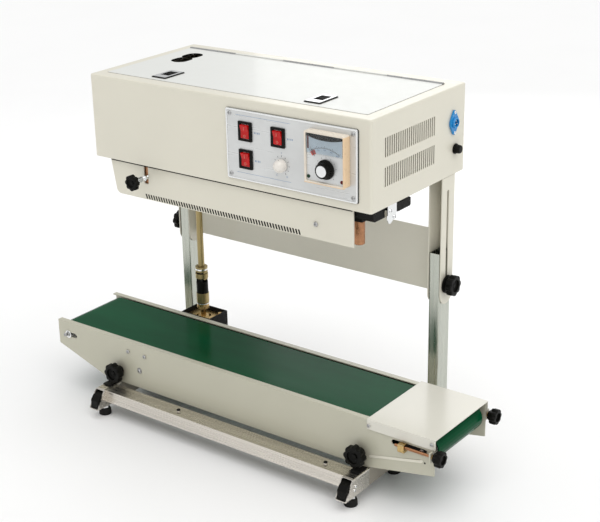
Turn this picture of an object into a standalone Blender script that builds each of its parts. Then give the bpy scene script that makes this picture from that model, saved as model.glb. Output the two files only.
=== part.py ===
"""Continuous band sealer: sealing head on two posts above a belt conveyor.

Lengths below are millimetres; meshes are made in metres. The drawing frame has
x = 0 at the middle of the head, y = 0 at the head's front face (y grows towards
the back) and z = 0 a little below the floor. The empty "machine" moves that frame
so that the world origin is on the floor, under the middle of the machine's box.
"""
import math

import bmesh
import bpy

MM = 0.001
GAP = 0.3                     # clearance kept between neighbouring pieces
FLOOR_Z = 5.0                 # underside of the feet

# ---- driving dimensions: head ------------------------------------------------
HEAD_X = 285.0                # half length
HEAD_Y = 270.0                # depth
HEAD_Z0 = 486.0               # underside
HEAD_Z1 = 630.0               # top
SHEET = 2.0
TOP_SHEET = 4.4               # top sheet with the ledge that carries the lid
LID = (-266.0, 262.0, 24.0, 237.8)          # x0, x1, y0, y1
LID_TOP = HEAD_Z1 + 0.5
LID_AXIS = (240.3, HEAD_Z1 + 0.6)           # y, z of the hinge line
HAND_SLOTS = ((-216.0, 158.5), (-220.0, 191.5))
HAND_SLOT_HALF = (16.0, 20.0)
LATCHES = {"latch_slider_left": -160.0, "latch_slider_right": 153.0}
PANEL = (13.0, 262.0, 499.0, 613.5)         # control plate x0, x1, z0, z1
ROCKERS = {"rocker_heater": (52.0, 580.5), "rocker_motor": (116.0, 580.5), "rocker_fan": (52.0, 535.3)}
ROCKER_TILT = math.radians(8.0)
SPEED_KNOB = (121.5, 536.0)
CONTROLLER = (211.5, 563.5)                 # centre x, z
CONTROLLER_HALF = (37.0, 40.5)
CONTROLLER_FRONT = -16.5
TEMP_KNOB = (213.5, 548.0)
SOCKET = (232.0, 573.0)                     # y, z on the right wall
FUSE = (240.0, 528.0)
LOUVRE_ROWS = ((519.0, 549.5), (565.0, 595.5))
LOUVRE_Y0, LOUVRE_PITCH, LOUVRE_WIDTH, LOUVRES = 36.0, 6.0, 3.0, 24
PRESSURE = (-174.0, 463.0)                  # x, z of the pressure screw

# ---- driving dimensions: sealing bands and gears --------------------------------
BAND_X = 150.0                # pulleys stand at x = -150 and x = 150
BAND_FRONT_Y, BAND_REAR_Y = 36.0, 89.0
PULLEY_R = 24.7
BAND_INNER = 25.0
BAND_OUTER = 26.0
BAND_Z = (438.0, 453.0)
GEAR_MODULE = 53.0 / 26.0
GEAR_TEETH = 26
TUBE_TEETH = 20
MOTOR_TEETH = 33
GEAR_Z = (500.0, 508.0)

# ---- driving dimensions: drive shaft ---------------------------------------------
SHAFT = (-214.0, 182.0)       # x, y of the vertical drive line
TUBE_Z = (360.0, 538.0)
ROD_Z = (236.3, 391.0)
BEVEL_R = 18.0
BEVEL_TEETH = 14

# ---- driving dimensions: legs, posts and base --------------------------------------
LEG = (259.5, 284.5, 205.0, 243.0)          # right leg x0, x1, y0, y1
LEG_Z = (264.5, HEAD_Z0 - GAP)
SLOT_Y = 223.5
SLOT_Z = (296.0, 463.0)
CLAMP_Z = 300.0
POST = (262.0, 282.0, 206.0, 240.6)
POST_Z = (57.3, 356.0)
CROSS_Z = (281.0, 390.0)
BASE_X = 272.0
BASE_TUBE = (20.0, 24.0, 57.0, 0.6, 246.0)  # width, z0, z1, y0, y1
FOOT_BAR_Y = -66.0
FOOT_Y = (-38.0, 89.0, 232.0)
RAIL_Y = (-44.0, -14.0)

# ---- driving dimensions: conveyor -------------------------------------------------
CONV_X = (-418.0, 402.0)
CONV_Y = (-1.0, 158.0)
CONV_Z = (57.3, 144.0)
FLANGE = 8.0
AXLE_Z = 119.0
ROLLER_LEFT_X, ROLLER_RIGHT_X = -393.0, 380.0
ROLLER_R = 20.5
DRUM = (-214.0, 92.0, 18.0)                 # x, z, radius
BELT_Y = (11.5, 145.5)
BELT_T = 2.0
COVER_X = (279.0, 404.0)
TAKEUP_Y = 6.5                # screw line, outside each side plate
HEIGHT_KNOBS = {"height_knob_left": (-262.0, 81.0), "height_knob_right": (267.0, 82.0)}
KNOB_TIP_X = 421.0            # outer face of the take-up knobs

CENTRE_X = 0.5 * (CONV_X[0] + KNOB_TIP_X)
CENTRE_Y = 0.5 * (FOOT_BAR_Y + HEAD_Y)

PAINTS = {}


# ---- outlines ------------------------------------------------------------------------
def circle(a, b, r, n=24, phase=0.0):
    step = 2.0 * math.pi / n
    return [(a + r * math.cos(phase + i * step), b + r * math.sin(phase + i * step)) for i in range(n)]


def rectangle(a0, a1, b0, b1):
    return [(a0, b0), (a1, b0), (a1, b1), (a0, b1)]


def arc(a, b, r, start, end, n):
    """Points on an arc, angles in degrees, both ends included."""
    angles = [math.radians(start + (end - start) * i / n) for i in range(n + 1)]
    return [(a + r * math.cos(t), b + r * math.sin(t)) for t in angles]


def rounded(a0, a1, b0, b1, r, n=3):
    return (arc(a0 + r, b0 + r, r, 180, 270, n) + arc(a1 - r, b0 + r, r, 270, 360, n)
            + arc(a1 - r, b1 - r, r, 0, 90, n) + arc(a0 + r, b1 - r, r, 90, 180, n))


def stadium(a0, a1, b0, b1, n=6):
    """Slot with round ends along its longer side."""
    if a1 - a0 > b1 - b0:
        r = 0.5 * (b1 - b0)
        return arc(a1 - r, b0 + r, r, -90, 90, n) + arc(a0 + r, b0 + r, r, 90, 270, n)
    r = 0.5 * (a1 - a0)
    return arc(a0 + r, b1 - r, r, 0, 180, n) + arc(a0 + r, b0 + r, r, 180, 360, n)


def wrap(circles, n=10):
    """Outline of a belt around circles (a, b, r) given anticlockwise, all inside the loop."""
    points = []
    count = len(circles)
    normals = []
    for i in range(count):
        a0, b0, r0 = circles[i]
        a1, b1, r1 = circles[(i + 1) % count]
        length = math.hypot(a1 - a0, b1 - b0)
        normals.append(math.atan2(b1 - b0, a1 - a0) - math.acos((r0 - r1) / length))
    for i in range(count):
        a, b, r = circles[i]
        start = normals[i - 1]
        end = normals[i]
        while end < start:
            end += 2.0 * math.pi
        points += [(a + r * math.cos(start + (end - start) * k / n),
                    b + r * math.sin(start + (end - start) * k / n)) for k in range(n + 1)]
    return points


def gear_outline(a, b, pitch_r, teeth, phase, addendum=1.7, dedendum=2.4):
    """Trapezoid teeth; phase is the angle of one tooth's middle, in radians."""
    pitch = 2.0 * math.pi / teeth
    points = []
    for i in range(teeth):
        middle = phase + i * pitch
        for share, r in ((-0.30, pitch_r - dedendum), (-0.12, pitch_r + addendum),
                         (0.12, pitch_r + addendum), (0.30, pitch_r - dedendum)):
            t = middle + share * pitch
            points.append((a + r * math.cos(t), b + r * math.sin(t)))
    return points


def meshed_phase(angle, phase, teeth, other_teeth):
    """Phase of the gear that meshes, at this direction, with a gear of known phase."""
    share = (angle - phase) * teeth / (2.0 * math.pi)
    return angle + math.pi - (0.5 - share) * 2.0 * math.pi / other_teeth


def star_outline(r, lobes=8, steps=3):
    points = []
    for i in range(lobes * steps):
        t = 2.0 * math.pi * i / (lobes * steps)
        dip = 0.5 - 0.5 * math.cos(lobes * t)
        reach = r * (1.0 - 0.13 * dip * dip)
        points.append((reach * math.cos(t), reach * math.sin(t)))
    return points


# ---- closed shapes ---------------------------------------------------------------------
class Form:
    """Closed shapes gathered in one mesh, drawn in millimetres."""

    def __init__(self):
        self.bm = bmesh.new()

    def point(self, axis, a, b, t):
        x, y, z = {"X": (t, a, b), "Y": (a, t, b), "Z": (a, b, t)}[axis]
        return self.bm.verts.new((x * MM, y * MM, z * MM))

    def stack(self, axis, levels):
        """Joins outlines of equal length, each at its place along the axis, and caps both ends."""
        rings = [[self.point(axis, a, b, t) for a, b in outline] for t, outline in levels]
        count = len(rings[0])
        for low, high in zip(rings, rings[1:]):
            for i in range(count):
                j = (i + 1) % count
                self.bm.faces.new((low[i], low[j], high[j], high[i]))
        self.bm.faces.new(rings[0])
        self.bm.faces.new(rings[-1])
        return self

    def prism(self, axis, outline, t0, t1):
        return self.stack(axis, [(t0, outline), (t1, outline)])

    def box(self, x0, x1, y0, y1, z0, z1):
        return self.prism("Z", rectangle(x0, x1, y0, y1), z0, z1)

    def rod(self, axis, a, b, r, t0, t1, n=20):
        return self.prism(axis, circle(a, b, r, n), t0, t1)

    def turned(self, axis, a, b, steps, n=24):
        """Solid of revolution from (place, radius) steps."""
        return self.stack(axis, [(t, circle(a, b, r, n)) for t, r in steps])

    def ring(self, axis, outer, inner, t0, t1):
        """Extrusion between two outlines of equal length, open in the middle."""
        loops = [[self.point(axis, a, b, t) for a, b in outline]
                 for outline, t in ((outer, t0), (outer, t1), (inner, t1), (inner, t0))]
        count = len(outer)
        for k in range(4):
            first = loops[k]
            second = loops[(k + 1) % 4]
            for i in range(count):
                j = (i + 1) % count
                self.bm.faces.new((first[i], first[j], second[j], second[i]))
        return self


def paint(name, colour, roughness, metallic=0.0):
    if name not in PAINTS:
        material = bpy.data.materials.new(name)
        material.use_nodes = True
        shader = material.node_tree.nodes["Principled BSDF"]
        shader.inputs["Base Color"].default_value = (*colour, 1.0)
        shader.inputs["Roughness"].default_value = roughness
        shader.inputs["Metallic"].default_value = metallic
        PAINTS[name] = material
    return PAINTS[name]


def cream():
    return paint("cream_paint", (0.72, 0.69, 0.61), 0.38)


def steel():
    return paint("polished_steel", (0.62, 0.64, 0.62), 0.12, 1.0)


def zinc():
    return paint("yellow_zinc", (0.72, 0.58, 0.30), 0.32, 1.0)


def black():
    return paint("black_plastic", (0.02, 0.02, 0.022), 0.42)


def brass():
    return paint("brass", (0.78, 0.55, 0.24), 0.3, 1.0)


def machined():
    return paint("machined_steel", (0.55, 0.55, 0.56), 0.35, 1.0)


def empty(name, parent=None, location=(0.0, 0.0, 0.0)):
    holder = bpy.data.objects.new(name, None)
    holder.location = [value * MM for value in location]
    holder.parent = parent
    bpy.context.scene.collection.objects.link(holder)
    return holder


def mesh_object(name, form, parent, origin):
    bmesh.ops.translate(form.bm, verts=form.bm.verts, vec=[-value * MM for value in origin])
    bmesh.ops.recalc_face_normals(form.bm, faces=form.bm.faces)
    mesh = bpy.data.meshes.new(name)
    form.bm.to_mesh(mesh)
    form.bm.free()
    thing = bpy.data.objects.new(name, mesh)
    thing.location = [value * MM for value in origin]
    thing.parent = parent
    bpy.context.scene.collection.objects.link(thing)
    return thing


def solid(name, form, material, parent, origin=(0.0, 0.0, 0.0)):
    """One sub-part; its origin is a point on its joint's axis where it moves."""
    thing = mesh_object(name, form, parent, origin)
    thing.data.materials.append(material)
    thing.data.shade_smooth()
    thing.data.set_sharp_from_angle(angle=math.radians(32))
    return thing


def combine(thing, form, operation):
    tool = mesh_object(thing.name + "_" + operation.lower(), form, thing.parent, (0.0, 0.0, 0.0))
    tool.hide_render = True
    tool.display_type = "WIRE"
    step = thing.modifiers.new(operation, "BOOLEAN")
    step.operation = operation
    step.solver = "EXACT"
    step.object = tool


def cut(thing, form):
    combine(thing, form, "DIFFERENCE")


def fuse(thing, form):
    combine(thing, form, "UNION")


# ---- head -------------------------------------------------------------------------------
def head_casing(head):
    levels = [(HEAD_Z0, 0.0), (HEAD_Z1 - 2.0, 0.0), (HEAD_Z1 - 0.6, 0.5), (HEAD_Z1, 2.0)]
    shell = Form().stack("Z", [(z, rounded(-HEAD_X + inset, HEAD_X - inset, inset, HEAD_Y - inset, 4.0))
                               for z, inset in levels])
    casing = solid("head_casing", shell, cream(), head)
    tools = Form()
    tools.box(-HEAD_X + SHEET, HEAD_X - SHEET, SHEET, HEAD_Y - SHEET, HEAD_Z0 - 10, HEAD_Z1 - TOP_SHEET)
    cut(casing, tools)
    opening = Form().box(LID[0] + 8, LID[1] - 8, LID[2] + 8, 242.8, HEAD_Z1 - 10, HEAD_Z1 + 10)
    cut(casing, opening)
    recess = Form().box(LID[0] - 0.6, LID[1] + 0.6, LID[2] - 0.6, 242.8, HEAD_Z1 - 2.4, HEAD_Z1 + 11)
    cut(casing, recess)
    holes = Form()
    for z0, z1 in LOUVRE_ROWS:
        for i in range(LOUVRES):
            y0 = LOUVRE_Y0 + i * LOUVRE_PITCH
            holes.box(HEAD_X - 5, HEAD_X + 5, y0, y0 + LOUVRE_WIDTH, z0, z1)
    holes.rod("X", *SOCKET, 9.0, HEAD_X - 8, HEAD_X + 8)
    holes.rod("X", *FUSE, 6.4, HEAD_X - 8, HEAD_X + 8)
    x, z = CONTROLLER
    holes.box(x - 33.5, x + 33.5, -4, 6, z - 33.5, z + 33.5)
    for x, z in ROCKERS.values():
        holes.box(x - 11.2, x + 11.2, -4, 6, z - 14.2, z + 14.2)
    holes.rod("Y", *SPEED_KNOB, 4.5, -4, 6)
    cut(casing, holes)


def head_base_plate(head):
    plate = Form().box(-HEAD_X + SHEET + GAP, HEAD_X - SHEET - GAP, SHEET + GAP, HEAD_Y - SHEET - GAP,
                       HEAD_Z0 + GAP, HEAD_Z0 + GAP + 3.0)
    thing = solid("head_base_plate", plate, machined(), head)
    holes = Form()
    for x in (-BAND_X, BAND_X):
        for y in (BAND_FRONT_Y, BAND_REAR_Y):
            holes.rod("Z", x, y, 5.6, HEAD_Z0 - 5, HEAD_Z0 + 10, 12)
    holes.rod("Z", *SHAFT, 10.5, HEAD_Z0 - 5, HEAD_Z0 + 10, 16)
    cut(thing, holes)


def knuckles():
    """Five hinge knuckles along the lid's rear edge: x ranges, fixed ones first."""
    length = (LID[1] - LID[0]) / 5.0
    spans = [(LID[0] + i * length + 0.3, LID[0] + (i + 1) * length - 0.3) for i in range(5)]
    return spans[0::2], spans[1::2]


def top_lid(head):
    fixed, moving = knuckles()
    origin = (0.0, *LID_AXIS)
    lid = Form().prism("Z", rounded(*LID, 3.0), LID_TOP - 2.5, LID_TOP)
    thing = solid("top_lid", lid, cream(), head, origin)
    barrels = Form()
    for x0, x1 in moving:
        web = [(LID[3] - 1.0, LID_TOP - 2.3), (LID_AXIS[0], LID_AXIS[1] - 1.7),
               (LID_AXIS[0], LID_AXIS[1] - 0.2), (LID[3] - 1.0, LID_TOP - 0.2)]
        barrels.prism("X", web, x0 + 5, x1 - 5)
    fuse(thing, barrels)
    rods = Form()
    for x0, x1 in moving:
        rods.rod("X", *LID_AXIS, 2.0, x0, x1, 12)
    fuse(thing, rods)
    openings = Form()
    for x in LATCHES.values():
        openings.box(x - 9.5, x + 9.5, 45.5, 78.5, LID_TOP - 8, LID_TOP + 8)
    cut(thing, openings)
    for x, y in HAND_SLOTS:
        dx, dy = HAND_SLOT_HALF
        cut(thing, Form().prism("Z", stadium(x - dx, x + dx, y - dy, y + dy), LID_TOP - 8, LID_TOP + 8))
    hinge = Form()
    for x0, x1 in fixed:
        hinge.rod("X", *LID_AXIS, 2.0, x0, x1, 12)
    leaf = solid("lid_hinge", hinge, machined(), head)
    tabs = Form()
    y, z = LID_AXIS
    for x0, x1 in fixed:
        tabs.box(x0 + 10, x1 - 10, y - 0.6, y + 0.9, HEAD_Z1 - 6.4, z - 1.0)
    fuse(leaf, tabs)
    fuse(leaf, Form().box(fixed[0][0] + 8, fixed[-1][1] - 8, y - 0.9, y + 14, HEAD_Z1 - 6.4, HEAD_Z1 - 4.8))


def latches(head):
    for name, x in LATCHES.items():
        slider = Form().stack("Z", [(LID_TOP - 5.6, rectangle(x - 8.9, x + 8.9, 58, 77.9)),
                                    (LID_TOP + 0.3, rectangle(x - 8.9, x + 8.9, 58, 77.9)),
                                    (LID_TOP + 1.5, rectangle(x - 7.9, x + 7.9, 59, 76.9))])
        thing = solid(name, slider, black(), head)
        fuse(thing, Form().box(x - 7.5, x + 7.5, 40, 66, LID_TOP - 7.8, LID_TOP - 5.3))


def control_panel(head):
    plate = solid("control_plate", Form().prism("Y", rounded(*PANEL, 3.0), -2.3, -GAP),
                  paint("panel_silver", (0.66, 0.69, 0.72), 0.3, 0.6), head)
    holes = Form()
    x, z = CONTROLLER
    holes.box(x - 33.5, x + 33.5, -8, 4, z - 33.5, z + 33.5)
    for x, z in ROCKERS.values():
        holes.box(x - 11.2, x + 11.2, -8, 4, z - 14.2, z + 14.2)
    holes.rod("Y", *SPEED_KNOB, 4.5, -8, 4)
    cut(plate, holes)
    bezels = Form()
    wells = Form()
    for x, z in ROCKERS.values():
        frame = rectangle(x - 13.3, x + 13.3, z - 15.7, z + 15.7)
        body = rectangle(x - 10.8, x + 10.8, z - 13.8, z + 13.8)
        bezels.stack("Y", [(-4.8, frame), (-1.8, frame), (-1.8, body), (16.0, body)])
        wells.box(x - 8.3, x + 8.3, -9, 7, z - 12.6, z + 12.6)
    fuse(plate, bezels)
    cut(plate, wells)
    screws = Form()
    for x in (PANEL[0] + 8, PANEL[1] - 8):
        for z in (PANEL[2] + 8, PANEL[3] - 8):
            screws.turned("Y", x, z, [(-1.5, 3.2), (-3.5, 3.2), (-4.3, 2.2)], 12)
    fuse(plate, screws)
    for name, (x, z) in ROCKERS.items():
        solid(name, Form().prism("X", rocker_profile(z), x - 7.9, x + 7.9),
              paint("red_lens", (0.62, 0.01, 0.01), 0.25), head, (x, 0.5, z))
    x, z = SPEED_KNOB
    steps = [(9.0, 3.0), (-2.9, 3.0), (-2.9, 10.6), (-6.0, 10.3), (-14.0, 9.6), (-16.6, 8.4), (-18.2, 5.6)]
    solid("speed_knob", Form().turned("Y", x, z, steps), paint("white_plastic", (0.86, 0.84, 0.80), 0.35),
          head, (x, -2.9, z))


def rocker_profile(z):
    """Shallow V in (y, z), turned about the pivot at y = 0.5 so that its lower half is pressed in."""
    shape = [(-6.75, 11.0), (-5.2, 0.0), (-6.75, -11.0), (0.0, -10.5), (4.0, -3.0), (4.0, 3.0), (0.0, 10.5)]
    c = math.cos(ROCKER_TILT)
    s = math.sin(ROCKER_TILT)
    return [(0.5 + (y - 0.5) * c - h * s, z + (y - 0.5) * s + h * c) for y, h in shape]


def temperature_controller(head):
    x, z = CONTROLLER
    dx, dz = CONTROLLER_HALF
    frame = rounded(x - dx, x + dx, z - dz, z + dz, 2.0)
    body = rounded(x - 33, x + 33, z - 33, z + 33, 2.0)
    case = Form().stack("Y", [(CONTROLLER_FRONT, frame), (-2.6, frame), (-2.6, body), (60.0, body)])
    thing = solid("controller_case", case, paint("peach_plastic", (0.85, 0.62, 0.42), 0.35), head)
    hollows = Form()
    floor = CONTROLLER_FRONT + 2.6
    hollows.box(x - dx + 3, x + dx - 3, CONTROLLER_FRONT - 4, floor, z - dz + 3, z + dz - 3)
    cut(thing, hollows)
    cut(thing, Form().rod("Y", *TEMP_KNOB, 3.7, floor - 1.1, 6.0))
    kx, kz = TEMP_KNOB
    steps = [(4.0, 3.0), (floor - 0.8, 3.0), (floor - 0.8, 15.4), (floor - 4.0, 15.2), (floor - 12.0, 11.8),
             (floor - 12.9, 10.8), (floor - 12.9, 8.6), (floor - 13.6, 8.2)]
    solid("temperature_knob", Form().turned("Y", kx, kz, steps), black(), head, (kx, floor - 0.8, kz))


def side_fittings(head):
    y, z = SOCKET
    diamond = (arc(y, z + 16.5, 3.5, 30, 150, 3) + arc(y, z, 12.5, 160, 200, 2)
               + arc(y, z - 16.5, 3.5, 210, 330, 3) + arc(y, z, 12.5, -20, 20, 2))
    socket = solid("power_socket", Form().prism("X", diamond, HEAD_X + GAP, HEAD_X + 3.3),
                   paint("blue_plastic", (0.03, 0.20, 0.55), 0.3), head)
    fuse(socket, Form().turned("X", y, z, [(HEAD_X - 17, 8.6), (HEAD_X + 5, 8.6), (HEAD_X + 7, 8.0)], 16))
    cut(socket, Form().rod("X", y, z, 6.2, HEAD_X - 4, HEAD_X + 12, 16))
    screws = Form()
    for dz in (-16.5, 16.5):
        screws.turned("X", y, z + dz, [(HEAD_X + 2.0, 2.2), (HEAD_X + 4.2, 2.2), (HEAD_X + 4.9, 1.5)], 10)
    fuse(socket, screws)
    y, z = FUSE
    steps = [(HEAD_X - 24, 6.0), (HEAD_X + GAP, 6.0), (HEAD_X + GAP, 8.5), (HEAD_X + 2.3, 8.5),
             (HEAD_X + 2.3, 6.8), (HEAD_X + 10, 6.4), (HEAD_X + 11, 5.4)]
    solid("fuse_holder", Form().turned("X", y, z, steps, 16), black(), head)


def front_cover(head):
    z0, z1 = 424.0, HEAD_Z0 - GAP
    outline = [(-255, z1), (-245.5, 434)] + arc(-235.5, 434, 10, 190, 270, 4) + [(249, z0), (249, z1)]
    cover = solid("front_cover", Form().prism("Y", outline, 6.0, 8.0), cream(), head)
    fuse(cover, Form().box(-250, 245, 7.0, 26.0, z1 - 2.0, z1))
    x, z = PRESSURE
    tools = Form().box(x - 4.6, x + 4.6, 2, 12, z - 11, z1 - 3.2)
    cut(cover, tools)
    fuse(cover, Form().turned("Y", 179.0, 449.0, [(7.0, 4.0), (4.6, 4.0), (3.4, 2.6)], 12))
    star_knob("pressure_knob", "Y", (x, z), -24.0, -9.0, 14.0, [(-26.0, 6.0), (-20.0, 6.0)],
              [(-21.0, 3.7), (18.0, 3.7)], head)


def star_knob(name, axis, centre, seat, thickness, radius, neck, stud, parent):
    """Eight-lobed clamp knob with a hollow face, a round neck and a screw.

    seat is where the star begins along the axis; thickness is signed, away from the machine.
    """
    a, b = centre
    outline = star_outline(radius)
    small = [(p * 0.94, q * 0.94) for p, q in outline]
    ends = [(seat, outline), (seat + 0.84 * thickness, outline), (seat + thickness, small)]
    star = Form().stack(axis, [(t, [(a + p, b + q) for p, q in ring]) for t, ring in ends])
    origin = {"X": (seat, a, b), "Y": (a, seat, b)}[axis]
    thing = solid(name, star, black(), parent, origin)
    fuse(thing, Form().turned(axis, a, b, neck, 16))
    fuse(thing, Form().turned(axis, a, b, stud, 8))
    bowl = [(seat + 0.62 * thickness, 0.30 * radius), (seat + 0.8 * thickness, 0.52 * radius),
            (seat + 1.2 * thickness, 0.56 * radius)]
    cut(thing, Form().turned(axis, a, b, bowl, 12))


# ---- sealing mechanism and gears --------------------------------------------------------
def gear_phases():
    """Places and tooth phases of the four gears, so that they stand in mesh."""
    module = GEAR_MODULE
    rear = (-BAND_X, BAND_REAR_Y)
    reach_rear = 0.5 * module * (GEAR_TEETH + MOTOR_TEETH)
    reach_tube = 0.5 * module * (TUBE_TEETH + MOTOR_TEETH)
    span = math.hypot(SHAFT[0] - rear[0], SHAFT[1] - rear[1])
    heading = math.atan2(SHAFT[1] - rear[1], SHAFT[0] - rear[0])
    lean = math.acos((reach_rear ** 2 + span ** 2 - reach_tube ** 2) / (2.0 * reach_rear * span))
    to_motor = heading - lean
    motor = (rear[0] + reach_rear * math.cos(to_motor), rear[1] + reach_rear * math.sin(to_motor))
    to_tube = math.atan2(SHAFT[1] - motor[1], SHAFT[0] - motor[0])
    front_phase = math.pi / 2.0
    rear_phase = meshed_phase(math.pi / 2.0, front_phase, GEAR_TEETH, GEAR_TEETH)
    motor_phase = meshed_phase(to_motor, rear_phase, GEAR_TEETH, MOTOR_TEETH)
    tube_phase = meshed_phase(to_tube, motor_phase, MOTOR_TEETH, TUBE_TEETH)
    return motor, front_phase, rear_phase, motor_phase, tube_phase


def gear_disc(centre, teeth, phase):
    return Form().prism("Z", gear_outline(*centre, 0.5 * GEAR_MODULE * teeth, teeth, phase), *GEAR_Z)


def band_drive(head):
    motor, front_phase, rear_phase, motor_phase, tube_phase = gear_phases()
    rubber = paint("pulley_rubber", (0.05, 0.05, 0.05), 0.7)
    spindles = (("front", BAND_FRONT_Y, front_phase), ("rear", BAND_REAR_Y, rear_phase))
    for side, y, phase in spindles:
        place = (-BAND_X, y)
        spindle = [(430, 5.0), (436, 5.0), (436, PULLEY_R), (455, PULLEY_R), (455, 5.0), (518, 5.0)]
        driver = solid("band_pulley_" + side, Form().turned("Z", *place, spindle, 24), rubber, head,
                       (*place, 445))
        fuse(driver, gear_disc(place, GEAR_TEETH, phase))
        idler = [(430, 5.0), (436, 5.0), (436, PULLEY_R), (455, PULLEY_R), (455, 5.0), (495, 5.0)]
        solid("band_idler_" + side, Form().turned("Z", BAND_X, y, idler, 24), rubber, head, (BAND_X, y, 445))
    pinion = solid("motor_gear", gear_disc(motor, MOTOR_TEETH, motor_phase), machined(), head, (*motor, 504))
    fuse(pinion, Form().rod("Z", *motor, 5.0, 494, 522, 16))
    mx, my = motor[0] + 28.0, motor[1] - 4.0
    case = Form().prism("Z", rounded(mx - 40, mx + 40, my - 38, my + 38, 6), 526, 556)
    drive = solid("gear_motor", case, machined(), head)
    fuse(drive, Form().rod("Z", mx + 6, my, 27, 550, 612, 28))
    pillars = Form()
    for dx, dy in ((-35.3, -35.4), (33, -33), (33, 33)):
        pillars.rod("Z", mx + dx, my + dy, 4.0, 489.6, 530, 10)
    fuse(drive, pillars)
    for side, y, _ in spindles:
        outer = wrap([(-BAND_X, y, BAND_OUTER), (BAND_X, y, BAND_OUTER)], 16)
        inner = wrap([(-BAND_X, y, BAND_INNER), (BAND_X, y, BAND_INNER)], 16)
        solid("sealing_band_" + side, Form().ring("Z", outer, inner, *BAND_Z),
              paint("tan_fabric", (0.42, 0.27, 0.14), 0.5), head)
    return tube_phase


def press_blocks(head):
    """Heating pair and cooling pair, one block on each side of the bands, on one carrier."""
    front = BAND_FRONT_Y + BAND_INNER - GAP
    rear = BAND_REAR_Y - BAND_INNER + GAP
    top = HEAD_Z0 - GAP
    pair = [(front - 11, 434), (front, 434), (front, 474), (rear, 474), (rear, 434), (rear + 11, 434),
            (rear + 11, top), (front - 11, top)]
    blocks = solid("sealing_blocks", Form().prism("X", pair, 15, 95), brass(), head)
    fuse(blocks, Form().prism("X", pair, -70, 0))
    fuse(blocks, Form().box(-60, 85, front - 5, rear + 5, 478, top - 1))


def feed_guides(head):
    guides = Form()
    guides.box(220, 246, 33, 57, 456, 485.7)
    guides.prism("X", rounded(72, 111, 469.5, 484, 3), 242, 284)
    thing = solid("guide_block", guides, black(), head)
    cut(thing, Form().rod("Z", 233, 45, 3.4, 440, 476, 12))
    fuse(thing, Form().box(238, 250.5, 50, 80, 476, 485.2))
    fuse(thing, Form().prism("X", [(12, 485.7), (12, 474), (17, 468), (44, 468), (44, 485.7)], 245.4, 280))
    roller = [(416, 8.0), (417, 9.0), (454.6, 9.0), (455.6, 8.0), (455.6, 3.0), (472, 3.0)]
    solid("guide_roller", Form().turned("Z", 233, 45, roller, 20),
          paint("copper", (0.65, 0.26, 0.12), 0.3, 1.0), head, (233, 45, 430))
    plate = solid("feed_guide", Form().box(251, 284, 58, 59.6, 462, 485.7), steel(), head)
    flag = [(46, 485.7), (46, 463), (49, 457.5), (54, 456), (69, 464.5), (71, 468), (71, 485.7)]
    fuse(plate, Form().prism("X", flag, 282.4, 284))


def control_board(head):
    board = Form().box(30, 150, 190, 262, 497, 498.6)
    thing = solid("control_board", board, paint("circuit_green", (0.03, 0.20, 0.08), 0.5), head)
    fittings = Form()
    for x, y in ((36, 196), (144, 196), (36, 256), (144, 256)):
        fittings.rod("Z", x, y, 3.0, 489.6, 500, 10)
    fittings.box(50, 95, 205, 245, 498, 536)
    for i in range(3):
        fittings.rod("Z", 108 + 13 * i, 205, 5.5, 498, 518, 12)
    for i in range(2):
        fittings.box(104 + 22 * i, 122 + 22 * i, 225, 250, 498, 514)
    fuse(thing, fittings)


# ---- legs and drive tube -------------------------------------------------------------------
def legs(head):
    x0, x1, y0, y1 = LEG
    channel = [(x0, y0), (x0 + SHEET, y0), (x0 + SHEET, y1 - SHEET), (x1 - SHEET, y1 - SHEET),
               (x1 - SHEET, y0), (x1, y0), (x1, y1), (x0, y1)]
    middle = 0.5 * (y0 + y1)
    radius = 0.5 * (y1 - y0)
    foot = LEG_Z[0] + radius
    below = [(y0 - 5, LEG_Z[0] - 5), (y1 + 5, LEG_Z[0] - 5), (y1 + 5, foot)]
    below += arc(middle, foot, radius, 360, 180, 10) + [(y0 - 5, foot)]
    channels = Form()
    trims = Form()
    slots = Form()
    for side in (-1, 1):
        channels.prism("Z", [(side * x, y) for x, y in channel], *LEG_Z)
        trims.prism("X", below, side * 250, side * 295)
        slots.prism("X", stadium(SLOT_Y - 3.2, SLOT_Y + 3.2, *SLOT_Z), side * 275, side * 295)
    frame = solid("leg_frame", channels, cream(), head)
    cut(frame, trims)
    cut(frame, slots)
    fuse(frame, Form().box(-LEG[0] - 1, LEG[0] + 1, 228, 230, *CROSS_Z))


def drive_tube(head, tube_phase):
    tube = solid("drive_tube", gear_disc(SHAFT, TUBE_TEETH, tube_phase), machined(), head, (*SHAFT, 504))
    fuse(tube, Form().rod("Z", *SHAFT, 9.0, *TUBE_Z, 20))
    cut(tube, Form().rod("Z", *SHAFT, 6.4, TUBE_Z[0] - 5, TUBE_Z[1] + 5, 20))


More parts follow.
